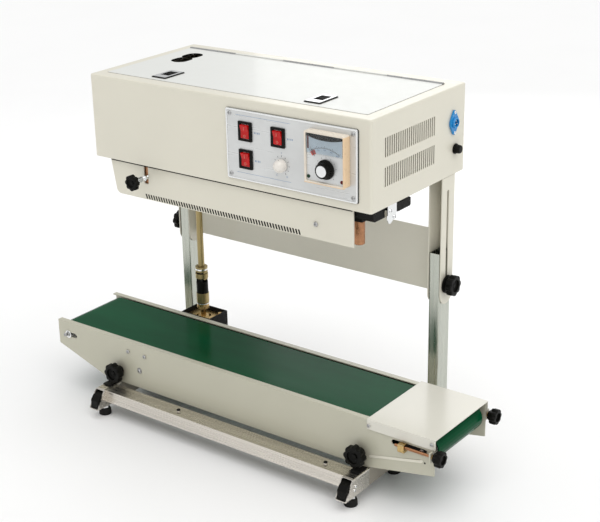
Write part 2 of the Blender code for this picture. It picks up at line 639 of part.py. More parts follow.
# ---- stand --------------------------------------------------------------------------------
def stand(base):
    for name, side in (("post_left", -1), ("post_right", 1)):
        x0, x1 = sorted((side * POST[0], side * POST[1]))
        y0, y1 = POST[2], POST[3]
        hollow = rounded(x0 + 1.5, x1 - 1.5, y0 + 1.5, y1 - 1.5, 1.0)
        tube = Form().ring("Z", rounded(x0, x1, y0, y1, 2.5), hollow, *POST_Z)
        post = solid(name, tube, steel(), base)
        cut(post, Form().rod("X", SLOT_Y, CLAMP_Z, 3.2, side * 276, side * 286, 12))
    for name, side in (("clamp_knob_left", -1), ("clamp_knob_right", 1)):
        neck = [(side * (LEG[1] + 0.6), 15.5), (side * (LEG[1] + 3), 15.5), (side * (LEG[1] + 4), 11.0),
                (side * 293.5, 11.0)]
        stud = [(side * 272, 2.7), (side * 290, 2.7)]
        star_knob(name, "X", (SLOT_Y, CLAMP_Z), side * 292.0, side * 11.0, 18.0, neck, stud, base)
    width, z0, z1, y0, y1 = BASE_TUBE
    tubes = Form()
    bars = Form()
    for side in (-1, 1):
        x0, x1 = side * BASE_X - 0.5 * width, side * BASE_X + 0.5 * width
        hollow = rounded(x0 + 1.5, x1 - 1.5, z0 + 1.5, z1 - 1.5, 1.0)
        tubes.ring("Y", rounded(x0, x1, z0, z1, 2.0), hollow, y0, y1)
        bars.ring("Y", rounded(x0 - 1, x1 + 1, z0 - 0.5, z1 + 0.5, 2.5),
                  rounded(x0 + 0.8, x1 - 0.8, z0 + 1.3, z1 - 1.3, 1.5), FOOT_BAR_Y, -1.3)
    frame = solid("base_frame", tubes, cream(), base)
    tie = [(212, 29), (213.5, 29), (213.5, 50.5), (230.5, 50.5), (230.5, 29), (232, 29), (232, 52), (212, 52)]
    reach = BASE_X - 0.5 * width + 1.0
    fuse(frame, Form().prism("X", tie, -reach, reach))
    front = solid("front_bars", bars, steel(), base)
    slant = [(FOOT_BAR_Y - 8, z0 - 4), (FOOT_BAR_Y, z0 - 4), (FOOT_BAR_Y, z0 + 2)]
    slant += arc(FOOT_BAR_Y + 26, z1 - 12, 13, 150, 90, 4)
    slant += [(FOOT_BAR_Y + 30, z1 + 6), (FOOT_BAR_Y - 8, z1 + 6)]
    cut(front, Form().prism("X", slant, -300, 300))
    rail = [(RAIL_Y[0], 34), (RAIL_Y[0], 57), (RAIL_Y[1], 57), (RAIL_Y[1], 45), (RAIL_Y[1] - 1.5, 45),
            (RAIL_Y[1] - 1.5, 55.5), (RAIL_Y[0] + 1.5, 55.5), (RAIL_Y[0] + 1.5, 34)]
    fuse(front, Form().prism("X", rail, 1.0 - reach, reach - 1.0))
    screws = Form()
    for x in (-98.0, 217.0):
        screws.turned("Z", x, -29.0, [(56.5, 3.6), (58.3, 3.6), (59.1, 2.4)], 12)
    fuse(front, screws)
    for place, y in zip(("front", "middle", "rear"), FOOT_Y):
        for name, side in (("left", -1), ("right", 1)):
            steps = [(FLOOR_Z, 10.6), (FLOOR_Z + 2, 11.4), (15, 11.0), (18, 10.0), (18, 5.0), (23.2, 5.0)]
            solid("foot_" + place + "_" + name, Form().turned("Z", side * BASE_X, y, steps, 14),
                  paint("rubber", (0.02, 0.02, 0.02), 0.8), base, (side * BASE_X, y, FLOOR_Z))


# ---- conveyor ------------------------------------------------------------------------------
def side_plates(base):
    x0, x1 = CONV_X
    z0, z1 = CONV_Z
    tapers = Form()
    tapers.prism("Y", [(x0 - 7, z1 - 45.7), (-300, z0), (-300, z0 - 20), (x0 - 7, z0 - 20)], -20, 180)
    tapers.prism("Y", [(272, z0), (272, z0 - 20), (x1 + 8, z0 - 20), (x1 + 8, z0 + 26.2)], -20, 180)
    tapers.prism("Y", stadium(324, 388, AXLE_Z - 4.5, AXLE_Z + 4.5), -20, 180)
    tapers.prism("Y", stadium(-400, -371, AXLE_Z - 4.5, AXLE_Z + 4.5), -20, 180)
    tapers.rod("Y", DRUM[0], DRUM[1], 5.6, -20, 180, 16)
    for x, z in HEIGHT_KNOBS.values():
        tapers.rod("Y", x, z, 4.2, -20, 180, 14)
    cutter = mesh_object("side_plate_cutter", tapers, base, (0.0, 0.0, 0.0))
    cutter.hide_render = True
    cutter.display_type = "WIRE"
    for name, outer, turn in (("side_plate_front", CONV_Y[0], 1), ("side_plate_rear", CONV_Y[1], -1)):
        inner = outer + turn * 2.0
        lip = outer + turn * (2.0 + FLANGE)
        profile = [(outer, z0), (inner, z0), (inner, z1 - 2), (lip, z1 - 2), (lip, z1), (outer, z1)]
        plate = solid(name, Form().prism("X", profile, x0, x1), cream(), base)
        trim = plate.modifiers.new("cut", "BOOLEAN")
        trim.operation = "DIFFERENCE"
        trim.solver = "EXACT"
        trim.object = cutter
        near, far = sorted((outer + turn, outer - turn * 11.5))
        fittings = Form().box(343, 353, near, far, 113, 125).box(398.5, 401.5, near, far, 110, 127)
        if turn == 1:
            rivet = [(outer + 1.0, 3.4), (outer - 0.7, 3.2), (outer - 1.3, 1.8)]
            for x in (-239.0, -199.0):
                fittings.turned("Y", x, 124.0, rivet, 10)
        fuse(plate, fittings)
        cut(plate, Form().rod("X", outer - turn * (TAKEUP_Y - 1), AXLE_Z, 3.1, 330, 410, 12))


def belt_circles(grow):
    return [(DRUM[0], DRUM[1], DRUM[2] + grow), (ROLLER_RIGHT_X, AXLE_Z, ROLLER_R + grow),
            (ROLLER_LEFT_X, AXLE_Z, ROLLER_R + grow)]


def conveyor(base):
    side_plates(base)
    belt = Form().ring("Y", wrap(belt_circles(GAP + BELT_T), 12), wrap(belt_circles(GAP), 12), *BELT_Y)
    solid("conveyor_belt", belt, paint("green_belt", (0.02, 0.22, 0.11), 0.25), base)
    tray = [(1.3, 100), (2.8, 100), (2.8, 137), (154.2, 137), (154.2, 100), (155.7, 100), (155.7, 139.3),
            (1.3, 139.3)]
    solid("slider_bed", Form().prism("X", tray, -362, 315), machined(), base)
    for name, x in (("roller_left", ROLLER_LEFT_X), ("roller_right", ROLLER_RIGHT_X)):
        steps = [(-3.6, 4.0), (10.5, 4.0), (10.5, ROLLER_R), (146.5, ROLLER_R), (146.5, 4.0), (160.6, 4.0)]
        solid(name, Form().turned("Y", x, AXLE_Z, steps, 24), machined(), base, (x, 78.5, AXLE_Z))
    cover = [(-2.9, 128), (-2.9, 145.8), (159.9, 145.8), (159.9, 128), (158.4, 128), (158.4, 144.3),
             (-1.4, 144.3), (-1.4, 128)]
    hood = solid("end_cover", Form().prism("X", cover, *COVER_X), cream(), base)
    screws = Form()
    for outer, turn in ((-2.9, -1), (159.9, 1)):
        for x, z in ((283.0, 135.0), (398.0, 137.5)):
            head = [(outer - turn * 0.7, 3.0), (outer + turn * 0.9, 3.0), (outer + turn * 1.6, 2.0)]
            screws.turned("Y", x, z, head, 10)
    fuse(hood, screws)
    front, rear = CONV_Y[0] - TAKEUP_Y + 1, CONV_Y[1] + TAKEUP_Y - 1
    for name, y in (("takeup_knob_front", front), ("takeup_knob_rear", rear)):
        star_knob(name, "X", (y, AXLE_Z), 409.0, KNOB_TIP_X - 409.0, 13.3, [(404.5, 8.5), (411, 8.5)],
                  [(334, 2.5), (406, 2.5)], base)
    for name, (x, z) in HEIGHT_KNOBS.items():
        star_knob(name, "Y", (x, z), -11.5, -14.0, 19.0, [(-1.6, 9.0), (-13.0, 9.0)],
                  [(-3.0, 3.6), (8.0, 3.6)], base)


# ---- shaft drive ---------------------------------------------------------------------------
def bevel(axis, centre, apex, turn, phase):
    """Bevel gear whose teeth point to the apex; turn is the side of the apex it stands on."""
    a, b = centre
    levels = []
    for scale in (0.72, 1.0):
        outline = gear_outline(0.0, 0.0, BEVEL_R, BEVEL_TEETH, phase, 1.3, 2.2)
        levels.append((apex + turn * BEVEL_R * scale, [(a + p * scale, b + q * scale) for p, q in outline]))
    return Form().stack(axis, levels)


def gearbox(base):
    x, y = SHAFT
    box = Form().box(x - 35, x + 35, CONV_Y[1] + GAP, CONV_Y[1] + GAP + 52, 62, 144)
    case = solid("gearbox_case", box, paint("black_enamel", (0.03, 0.03, 0.03), 0.45), base)
    hollow = Form().box(x - 32, x + 32, CONV_Y[1] + 3.3, CONV_Y[1] + 49, 65, 150)
    cut(case, hollow)
    cut(case, Form().rod("Y", DRUM[0], DRUM[1], 5.6, 150, 165, 16))
    steps = [(-1.2, 5.0), (11.0, 5.0), (11.0, DRUM[2]), (146.0, DRUM[2]), (146.0, 5.0), (166.0, 5.0)]
    drum = solid("drive_drum", Form().turned("Y", DRUM[0], DRUM[1], steps, 24), machined(), base,
                 (DRUM[0], 78.5, DRUM[1]))
    up = math.pi / 2.0
    fuse(drum, bevel("Y", (DRUM[0], DRUM[1]), y, -1.0, up))
    gap_phase = -up + math.pi / BEVEL_TEETH
    gear = solid("input_gear", bevel("Z", SHAFT, DRUM[1], 1.0, gap_phase), brass(), base, (*SHAFT, 120))
    fuse(gear, Form().turned("Z", x, y, [(DRUM[1] + 17, 12.5), (134, 12.5), (137, 10.0)], 24))
    fuse(gear, Form().turned("Z", x, y, [(DRUM[1] + 11.5, 6.0), (DRUM[1] + 20, 6.0)], 16))
    fuse(gear, Form().rod("Z", x, y, 5.0, 130, 154, 16))
    fuse(gear, Form().rod("Z", x, y, 11.5, 152, 161, 20))
    fuse(gear, fork_ears(158, 176))


def fork_ears(z0, z1):
    x, y = SHAFT
    ears = Form()
    for x0 in (x - 10, x + 6.5):
        ears.box(x0, x0 + 3.5, y - 5, y + 5, z0, z1)
    return ears


def universal_joints(base):
    """Fork ears stand along X on the yokes and along Y on the sleeve, with a cross block between."""
    x, y = SHAFT
    sleeve = solid("joint_sleeve", Form().rod("Z", x, y, 11.0, 181, 206, 20), black(), base, (x, y, 193))
    ears = Form()
    for z0, z1 in ((164, 184), (203, 223)):
        ears.box(x - 5, x + 5, y - 10, y - 6.5, z0, z1)
        ears.box(x - 5, x + 5, y + 6.5, y + 10, z0, z1)
    fuse(sleeve, ears)
    spiders = Form()
    for z in (170.0, 217.0):
        spiders.box(x - 6.2, x + 6.2, y - 7.0, y + 7.0, z - 4, z + 4)
    fuse(sleeve, spiders)
    rod = solid("drive_rod", Form().turned("Z", x, y, [(226, 11.5), (ROD_Z[0], 11.5), (ROD_Z[0], 6.0),
                                                      (ROD_Z[1], 6.0)], 20), zinc(), base, (x, y, 300))
    fuse(rod, fork_ears(211, 229))


def main():
    for thing in list(bpy.data.objects):
        bpy.data.objects.remove(thing)
    machine = empty("machine", None, (-CENTRE_X, -CENTRE_Y, -FLOOR_Z))
    head = empty("head", machine)
    base = empty("base", machine)
    head_casing(head)
    head_base_plate(head)
    top_lid(head)
    latches(head)
    control_panel(head)
    temperature_controller(head)
    side_fittings(head)
    front_cover(head)
    tube_phase = band_drive(head)
    press_blocks(head)
    feed_guides(head)
    control_board(head)
    legs(head)
    drive_tube(head, tube_phase)
    stand(base)
    conveyor(base)
    gearbox(base)
    universal_joints(base)


main()
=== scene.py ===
"""Looks of the continuous band sealer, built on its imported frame.

Details are drawn in millimetres in the drawing frame of the machine: x = 0 at the middle of the
head, y = 0 at the head's front face, z = 5 on the floor. put() turns that into the shared frame.
"""
import math
import bmesh
import bpy
from mathutils import Matrix, Vector


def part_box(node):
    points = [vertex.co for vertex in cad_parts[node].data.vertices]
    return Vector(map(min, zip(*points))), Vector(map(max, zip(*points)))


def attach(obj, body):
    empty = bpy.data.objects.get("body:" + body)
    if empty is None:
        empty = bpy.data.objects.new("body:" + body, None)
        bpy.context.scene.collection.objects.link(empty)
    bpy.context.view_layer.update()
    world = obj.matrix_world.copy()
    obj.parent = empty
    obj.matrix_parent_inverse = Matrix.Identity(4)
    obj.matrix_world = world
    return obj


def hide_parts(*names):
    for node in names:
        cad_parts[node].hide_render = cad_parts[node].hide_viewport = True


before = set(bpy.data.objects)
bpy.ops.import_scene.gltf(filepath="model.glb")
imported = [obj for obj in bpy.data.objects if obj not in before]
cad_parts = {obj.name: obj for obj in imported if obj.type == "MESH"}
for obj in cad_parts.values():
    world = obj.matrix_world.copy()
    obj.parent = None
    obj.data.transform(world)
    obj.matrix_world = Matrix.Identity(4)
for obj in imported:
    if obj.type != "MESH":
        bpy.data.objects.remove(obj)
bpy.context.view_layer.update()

MM = 0.001
HEAD_LO, HEAD_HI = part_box("head_casing")
HEAD_BOTTOM = 486.0
SHARP_ANGLE = 32.0
ZERO = Vector(((HEAD_LO.x + HEAD_HI.x) / 2.0, HEAD_LO.y, HEAD_LO.z - HEAD_BOTTOM * MM))

SIDES = (("left", -1.0), ("right", 1.0))
ROCKERS = ("heater", "motor", "fan")
PRESSURE_SCREW = (-174.0, 463.0)
CLAMP = (223.5, 300.0)
DRIVE_SHAFT = (-214.0, 182.0)
HAND_HOLES = ((-216.0, 158.5), (-220.0, 191.5))


def put(x, y, z):
    """Point of the shared frame at drawing millimetres x, y, z."""
    return ZERO + Vector((x, y, z)) * MM


def span(node):
    """x0, x1, y0, y1, z0, z1 of a CAD node in drawing millimetres."""
    low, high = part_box(node)
    low, high = (low - ZERO) / MM, (high - ZERO) / MM
    return low.x, high.x, low.y, high.y, low.z, high.z


def middle(node):
    """Centre x, y, z of a CAD node in drawing millimetres."""
    x0, x1, y0, y1, z0, z1 = span(node)
    return 0.5 * (x0 + x1), 0.5 * (y0 + y1), 0.5 * (z0 + z1)


# ---- outlines ------------------------------------------------------------------------
def circle(a, b, r, n=32, phase=0.0):
    step = 2.0 * math.pi / n
    return [(a + r * math.cos(phase + i * step), b + r * math.sin(phase + i * step)) for i in range(n)]


def arc(a, b, r, start, end, n):
    angles = [math.radians(start + (end - start) * i / n) for i in range(n + 1)]
    return [(a + r * math.cos(t), b + r * math.sin(t)) for t in angles]


def rectangle(a0, a1, b0, b1):
    return [(a0, b0), (a1, b0), (a1, b1), (a0, b1)]


def rounded(a0, a1, b0, b1, r, n=5):
    return (arc(a0 + r, b0 + r, r, 180, 270, n) + arc(a1 - r, b0 + r, r, 270, 360, n)
            + arc(a1 - r, b1 - r, r, 0, 90, n) + arc(a0 + r, b1 - r, r, 90, 180, n))


def lobed(a, b, r, depth, lobes, steps, sharp):
    """Outline with round lobes: the radius dips by depth between them."""
    count = lobes * steps
    points = []
    for i in range(count):
        t = 2.0 * math.pi * i / count
        dip = (0.5 - 0.5 * math.cos(lobes * t)) ** sharp
        reach = r * (1.0 - depth * dip)
        points.append((a + reach * math.cos(t), b + reach * math.sin(t)))
    return points


def polar(a, b, r, angle):
    """Point at an angle in degrees round a, b."""
    t = math.radians(angle)
    return a + r * math.cos(t), b + r * math.sin(t)


# ---- shapes ---------------------------------------------------------------------------
class Form:
    """Closed shapes gathered in one mesh, drawn in millimetres."""

    def __init__(self):
        self.bm = bmesh.new()

    def point(self, axis, a, b, t):
        return self.bm.verts.new(put(*{"X": (t, a, b), "Y": (a, t, b), "Z": (a, b, t)}[axis]))

    def stack(self, axis, levels):
        rings = [[self.point(axis, a, b, t) for a, b in outline] for t, outline in levels]
        count = len(rings[0])
        for low, high in zip(rings, rings[1:]):
            for i in range(count):
                j = (i + 1) % count
                self.bm.faces.new((low[i], low[j], high[j], high[i]))
        self.bm.faces.new(rings[0])
        self.bm.faces.new(rings[-1])
        return self

    def prism(self, axis, outline, t0, t1):
        return self.stack(axis, [(t0, outline), (t1, outline)])

    def box(self, x0, x1, y0, y1, z0, z1):
        return self.prism("Z", rectangle(x0, x1, y0, y1), z0, z1)

    def rod(self, axis, a, b, r, t0, t1, n=24):
        return self.prism(axis, circle(a, b, r, n), t0, t1)

    def turned(self, axis, a, b, steps, n=40):
        return self.stack(axis, [(t, circle(a, b, r, n)) for t, r in steps])

    def ring(self, axis, outer, inner, t0, t1):
        loops = [[self.point(axis, a, b, t) for a, b in outline]
                 for outline, t in ((outer, t0), (outer, t1), (inner, t1), (inner, t0))]
        count = len(outer)
        for k in range(4):
            first, second = loops[k], loops[(k + 1) % 4]
            for i in range(count):
                j = (i + 1) % count
                self.bm.faces.new((first[i], first[j], second[j], second[i]))
        return self


def soften(thing, width, angle=SHARP_ANGLE):
    """Rounds the sharp edges a little, so that they catch the light."""
    step = thing.modifiers.new("soft_edges", "BEVEL")
    step.width = width * MM
    step.segments = 2
    step.limit_method = "ANGLE"
    step.angle_limit = math.radians(angle)
    step.harden_normals = True
    step.miter_outer = "MITER_ARC"


def mesh_object(name, form):
    bmesh.ops.recalc_face_normals(form.bm, faces=form.bm.faces)
    mesh = bpy.data.meshes.new(name)
    form.bm.to_mesh(mesh)
    form.bm.free()
    thing = bpy.data.objects.new(name, mesh)
    bpy.context.scene.collection.objects.link(thing)
    return thing


def piece(name, form, material, body, bevel=0.3, stands_for=(), cutter=None):
    thing = mesh_object(name, form)
    thing.data.materials.append(material)
    if cutter is not None:
        tool = mesh_object(name + "_cutter", cutter)
        step = thing.modifiers.new("cut", "BOOLEAN")
        step.solver = "EXACT"
        step.object = tool
        graph = bpy.context.evaluated_depsgraph_get()
        mesh = bpy.data.meshes.new_from_object(thing.evaluated_get(graph))
        thing.modifiers.clear()
        thing.data = mesh
        bpy.data.objects.remove(tool)
    thing.data.shade_smooth()
    thing.data.set_sharp_from_angle(angle=math.radians(SHARP_ANGLE))
    if bevel:
        soften(thing, bevel)
    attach(thing, body)
    if stands_for:
        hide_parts(*stands_for)
    return thing


def dress(node, material, bevel=0.0):
    """Better material, and softened edges, on a CAD node that stays in view."""
    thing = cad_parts[node]
    thing.data.materials.clear()
    thing.data.materials.append(material)
    if bevel:
        weld = thing.modifiers.new("weld", "WELD")
        weld.merge_threshold = 0.02 * MM
        soften(thing, bevel, 40.0)


def screws(name, material, body, heads):
    """Cross-recessed pan heads: axis, a, b, seat, out and radius of each; out is +1 or -1 on the axis."""
    form = Form()
    slots = Form()
    for axis, a, b, seat, out, r in heads:
        steps = [(seat, r), (seat + out * 0.35 * r, r), (seat + out * 0.55 * r, 0.86 * r),
                 (seat + out * 0.68 * r, 0.55 * r), (seat + out * 0.72 * r, 0.2 * r)]
        form.turned(axis, a, b, steps, 24)
        reach = 0.55 * r
        width = 0.11 * r
        low, high = sorted((seat + out * 0.3 * r, seat + out * 1.2 * r))
        cross = [(a - reach, b - width), (a - width, b - width), (a - width, b - reach),
                 (a + width, b - reach), (a + width, b - width), (a + reach, b - width),
                 (a + reach, b + width), (a + width, b + width), (a + width, b + reach),
                 (a - width, b + reach), (a - width, b + width), (a - reach, b + width)]
        slots.prism(axis, cross, low, high)
    piece(name, form, material, body, 0.0, cutter=slots)


def tick(form, x, z, angle, near, far, half, y0, y1):
    """Radial mark facing the front, from radius near to far, at an angle in degrees round x, z."""
    c, s = math.cos(math.radians(angle)), math.sin(math.radians(angle))
    corners = [(near, -half), (far, -half), (far, half), (near, half)]
    form.prism("Y", [(x + r * c - w * s, z + r * s + w * c) for r, w in corners], y0, y1)


# ---- materials --------------------------------------------------------------------------
class Finish:
    """A Principled material with procedural colour, gloss and relief."""

    def __init__(self, name, colour, roughness, metallic=0.0):
        self.material = bpy.data.materials.new(name)
        self.material.use_nodes = True
        self.nodes = self.material.node_tree.nodes
        self.links = self.material.node_tree.links
        self.shader = self.nodes["Principled BSDF"]
        self.shader.inputs["Base Color"].default_value = (*colour, 1.0)
        self.shader.inputs["Roughness"].default_value = roughness
        self.shader.inputs["Metallic"].default_value = metallic
        self.colour = colour
        self.place = self.nodes.new("ShaderNodeTexCoord").outputs["Object"]
        self.tint = None

    def noise(self, scale, detail=4.0, stretch=(1.0, 1.0, 1.0), rough=0.55):
        mapping = self.nodes.new("ShaderNodeMapping")
        mapping.inputs["Scale"].default_value = stretch
        self.links.new(self.place, mapping.inputs["Vector"])
        noise = self.nodes.new("ShaderNodeTexNoise")
        noise.inputs["Scale"].default_value = scale
        noise.inputs["Detail"].default_value = detail
        noise.inputs["Roughness"].default_value = rough
        self.links.new(mapping.outputs["Vector"], noise.inputs["Vector"])
        return noise.outputs["Fac"]

    def spread(self, value, low, high, start=0.3, end=0.7):
        node = self.nodes.new("ShaderNodeMapRange")
        node.inputs["From Min"].default_value = start
        node.inputs["From Max"].default_value = end
        node.inputs["To Min"].default_value = low
        node.inputs["To Max"].default_value = high
        self.links.new(value, node.inputs["Value"])
        return node.outputs["Result"]

    def mix(self, share, first, second):
        """Colour mix; first and second are colours or sockets."""
        node = self.nodes.new("ShaderNodeMix")
        node.data_type = "RGBA"
        self.links.new(share, node.inputs["Factor"])
        for name, value in (("A", first), ("B", second)):
            for_colour = [s for s in node.inputs if s.name == name and s.type == "RGBA"][0]
            if isinstance(value, tuple):
                for_colour.default_value = (*value, 1.0)
            else:
                self.links.new(value, for_colour)
        return [s for s in node.outputs if s.type == "RGBA"][0]

    def mottle(self, amount, scale, stretch=(1.0, 1.0, 1.0)):
        """Slight unevenness of the colour."""
        share = self.spread(self.noise(scale, 5.0, stretch), 0.0, 1.0)
        dark = tuple(c * (1.0 - amount) for c in self.colour)
        light = tuple(min(1.0, c * (1.0 + 0.6 * amount)) for c in self.colour)
        self.tint = self.mix(share, dark, light)
        self.links.new(self.tint, self.shader.inputs["Base Color"])
        return self

    def corner_shade(self, colour, amount, distance=0.02):
        """Painted shade: the colour is darkened towards a brown where ambient occlusion finds corners and
        undersides.
        """
        shade = self.nodes.new("ShaderNodeAmbientOcclusion")
        shade.samples = 6
        shade.inputs["Distance"].default_value = distance
        share = self.spread(shade.outputs["AO"], amount, 0.0, 0.35, 0.95)
        self.tint = self.mix(share, self.tint or self.colour, colour)
        self.links.new(self.tint, self.shader.inputs["Base Color"])
        return self

    def gloss(self, low, high, scale, stretch=(1.0, 1.0, 1.0)):
        share = self.spread(self.noise(scale, 4.0, stretch), low, high)
        self.links.new(share, self.shader.inputs["Roughness"])
        return self

    def relief(self, scale, strength, distance=0.0002, stretch=(1.0, 1.0, 1.0), detail=3.0):
        bump = self.nodes.new("ShaderNodeBump")
        bump.inputs["Strength"].default_value = strength
        bump.inputs["Distance"].default_value = distance
        self.links.new(self.noise(scale, detail, stretch), bump.inputs["Height"])
        self.links.new(bump.outputs["Normal"], self.shader.inputs["Normal"])
        return self

    def coat(self, weight, roughness=0.05):
        self.shader.inputs["Coat Weight"].default_value = weight
        self.shader.inputs["Coat Roughness"].default_value = roughness
        return self


def paint(name, colour, roughness, amount=0.02, peel=0.06, uneven=0.06):
    """Sprayed enamel: faint orange peel, slightly uneven gloss, and painted shade darkening the corners and
    undersides.
    """
    made = Finish(name, colour, roughness)
    # the brown mixed in by occlusion is painted shade in corners and under edges
    made.mottle(amount, 9.0).corner_shade((0.30, 0.27, 0.21), 0.5, 0.015)
    made.gloss(roughness - uneven, roughness + uneven, 60.0).relief(420.0, peel, 0.0003)
    return made.coat(0.25, 0.12).material


def metal(name, colour, roughness, stretch=(1.0, 1.0, 1.0), streak=900.0, amount=0.10, strength=0.05):
    made = Finish(name, colour, roughness, 1.0)
    made.mottle(amount, streak * 0.2, stretch)
    made.gloss(roughness * 0.7, roughness * 1.5, streak * 0.4, stretch)
    return made.relief(streak, strength, 0.0001, stretch).material


def plastic(name, colour, roughness, relief=0.12, amount=0.08, shine=0.5):
    made = Finish(name, colour, roughness)
    made.shader.inputs["Specular IOR Level"].default_value = shine
    made.mottle(amount, 70.0).gloss(roughness * 0.8, roughness * 1.3, 240.0)
    return made.relief(1500.0, relief, 0.0002).material


CREAM = paint("cream_enamel", (0.74, 0.71, 0.60), 0.36)
GREIGE = paint("greige_enamel", (0.52, 0.505, 0.40), 0.34)
# base tube paint is darker than the cream: painted shade for their place under the conveyor
BASE_SHADED_PAINT = paint("base_enamel_painted_shade", (0.30, 0.27, 0.22), 0.5)
LID_WHITE = paint("lid_enamel", (0.73, 0.74, 0.71), 0.46, 0.01, 0.03)
HOOD = paint("hood_enamel", (0.71, 0.69, 0.61), 0.24, 0.01, 0.008, 0.01)
# post steel: the greenish tint of its colour is painted reflection
POST_STEEL_GREEN_REFLECTION = metal("polished_post_painted_reflection", (0.52, 0.54, 0.48), 0.26, (1.0, 1.0, 0.02))
# rail steel: the warm tint of its colour is painted reflection of the cream plate above
RAIL_STEEL_WARM_REFLECTION = metal("polished_rail_painted_reflection", (0.70, 0.66, 0.60), 0.26, (0.02, 1.0, 1.0))
CHROME = metal("chrome", (0.82, 0.83, 0.83), 0.08, amount=0.03, strength=0.02)
MACHINED = metal("machined_steel", (0.50, 0.50, 0.50), 0.34)
CASTING = metal("die_casting", (0.42, 0.42, 0.43), 0.46, amount=0.16, strength=0.25)
GALVANISED = metal("zinc_sheet", (0.56, 0.57, 0.56), 0.32, amount=0.2)
ZINC = metal("yellow_zinc", (0.38, 0.30, 0.14), 0.32, (1.0, 1.0, 0.1), amount=0.18)
BRASS = metal("brass", (0.60, 0.42, 0.18), 0.28, amount=0.16)
COPPER = metal("copper", (0.42, 0.21, 0.11), 0.30, amount=0.2)
BLACK = plastic("black_plastic", (0.005, 0.005, 0.004), 0.36, shine=0.11)
MATT_BLACK = plastic("matt_black", (0.008, 0.0075, 0.007), 0.55, 0.3, shine=0.15)
RUBBER = plastic("black_rubber", (0.009, 0.009, 0.008), 0.62, 0.45, 0.3, shine=0.2)
WHITE_KNOB = plastic("white_plastic", (0.84, 0.80, 0.74), 0.28, 0.05, 0.03)
PEACH = plastic("peach_frame", (0.86, 0.63, 0.40), 0.30, 0.05, 0.05)
IVORY = plastic("ivory_frame", (0.82, 0.74, 0.63), 0.30, 0.05, 0.03)
BLUE = plastic("blue_plastic", (0.015, 0.26, 0.62), 0.24, 0.06)
DARK_PRINT = plastic("dark_print", (0.03, 0.035, 0.045), 0.4, 0.02)
BLUE_PRINT = plastic("blue_print", (0.20, 0.30, 0.45), 0.4, 0.02)
RED_PRINT = plastic("red_print", (0.60, 0.08, 0.06), 0.4, 0.02)
SWITCH_PRINT = plastic("switch_print", (0.62, 0.16, 0.12), 0.4, 0.02)
DEEP_RED = plastic("deep_red_print", (0.16, 0.02, 0.015), 0.4, 0.02)
DIAL = plastic("dial_card", (0.70, 0.78, 0.84), 0.45, 0.02, 0.06)
BOARD = plastic("circuit_board", (0.02, 0.17, 0.07), 0.35, 0.2, 0.3)


def panel_material():
    """Brushed silver-blue aluminium under a clear print."""
    made = Finish("panel_silver", (0.66, 0.67, 0.665), 0.36, 0.35)
    made.mottle(0.07, 14.0).gloss(0.26, 0.42, 300.0, (0.03, 1.0, 1.0))
    return made.relief(900.0, 0.05, 0.0001, (0.02, 1.0, 1.0)).coat(0.3, 0.15).material


def belt_material():
    """Smooth polyurethane belt: glossy, a little cloudy, with faint lengthwise marks."""
    made = Finish("green_belt", (0.003, 0.072, 0.027), 0.20)
    made.mottle(0.22, 11.0, (0.25, 1.0, 1.0)).gloss(0.11, 0.24, 26.0, (0.3, 1.0, 1.0))
    made.shader.inputs["Specular IOR Level"].default_value = 0.05
    return made.relief(700.0, 0.10, 0.0002, (0.4, 1.0, 1.0)).material


def lens_material(name, colour, glow=0.0):
    made = Finish(name, colour, 0.14)
    made.mottle(0.25, 120.0).gloss(0.10, 0.22, 90.0).relief(260.0, 0.05, 0.0002)
    made.shader.inputs["Emission Color"].default_value = (*colour, 1.0)
    made.shader.inputs["Emission Strength"].default_value = glow
    made.shader.inputs["Specular IOR Level"].default_value = 0.2
    return made.coat(0.12, 0.06).material


def glass_material():
    made = Finish("meter_glass", (0.92, 0.95, 0.97), 0.03)
    made.gloss(0.02, 0.06, 60.0)
    made.shader.inputs["Transmission Weight"].default_value = 1.0
    made.shader.inputs["IOR"].default_value = 1.35
    return made.material


def band_material():
    """Coated glass cloth: woven relief and a brown sheen."""
    made = Finish("band_cloth", (0.30, 0.17, 0.08), 0.42)
    made.mottle(0.25, 150.0, (0.4, 1.0, 1.0)).gloss(0.32, 0.52, 300.0)
    return made.relief(1400.0, 0.5, 0.0003).material


PANEL = panel_material()
BELT = belt_material()
RED_LENS = lens_material("red_lens", (0.50, 0.006, 0.006), 0.05)
GREEN_LENS = lens_material("green_lens", (0.006, 0.035, 0.016))
DARK_RED_LENS = lens_material("dark_red_lens", (0.11, 0.006, 0.008))
GLASS = glass_material()
BAND = band_material()


# ---- camera, light, floor ---------------------------------------------------------------
def set_camera():
    azimuth, elevation, roll = math.radians(39.569), math.radians(21.603), math.radians(-2.095)
    forward = Vector((-math.sin(azimuth) * math.cos(elevation), math.cos(azimuth) * math.cos(elevation),
                      -math.sin(elevation)))
    side = Vector((math.cos(azimuth), math.sin(azimuth), 0.0))
    up = side.cross(forward)
    right = side * math.cos(roll) + up * math.sin(roll)
    top = up * math.cos(roll) - side * math.sin(roll)
    data = bpy.data.cameras.new("camera")
    data.lens = 80.67
    data.sensor_width = 36.0
    data.shift_x = 0.1022
    data.shift_y = 0.0158
    data.clip_end = 50.0
    camera = bpy.data.objects.new("camera", data)
    place = put(1328.1, -1575.5, 1149.5)
    turn = Matrix((right, top, -forward)).transposed().to_4x4()
    camera.matrix_world = Matrix.Translation(place) @ turn
    bpy.context.scene.collection.objects.link(camera)
    bpy.context.scene.camera = camera


def soft_sun(name, direction, strength, spread, colour=(1.0, 1.0, 1.0)):
    """Wide, even light arriving from one direction."""
    data = bpy.data.lights.new(name, "SUN")
    data.energy = strength
    data.angle = math.radians(spread)
    data.color = colour
    light = bpy.data.objects.new(name, data)
    light.rotation_euler = Vector(direction).to_track_quat("Z", "Y").to_euler()
    bpy.context.scene.collection.objects.link(light)


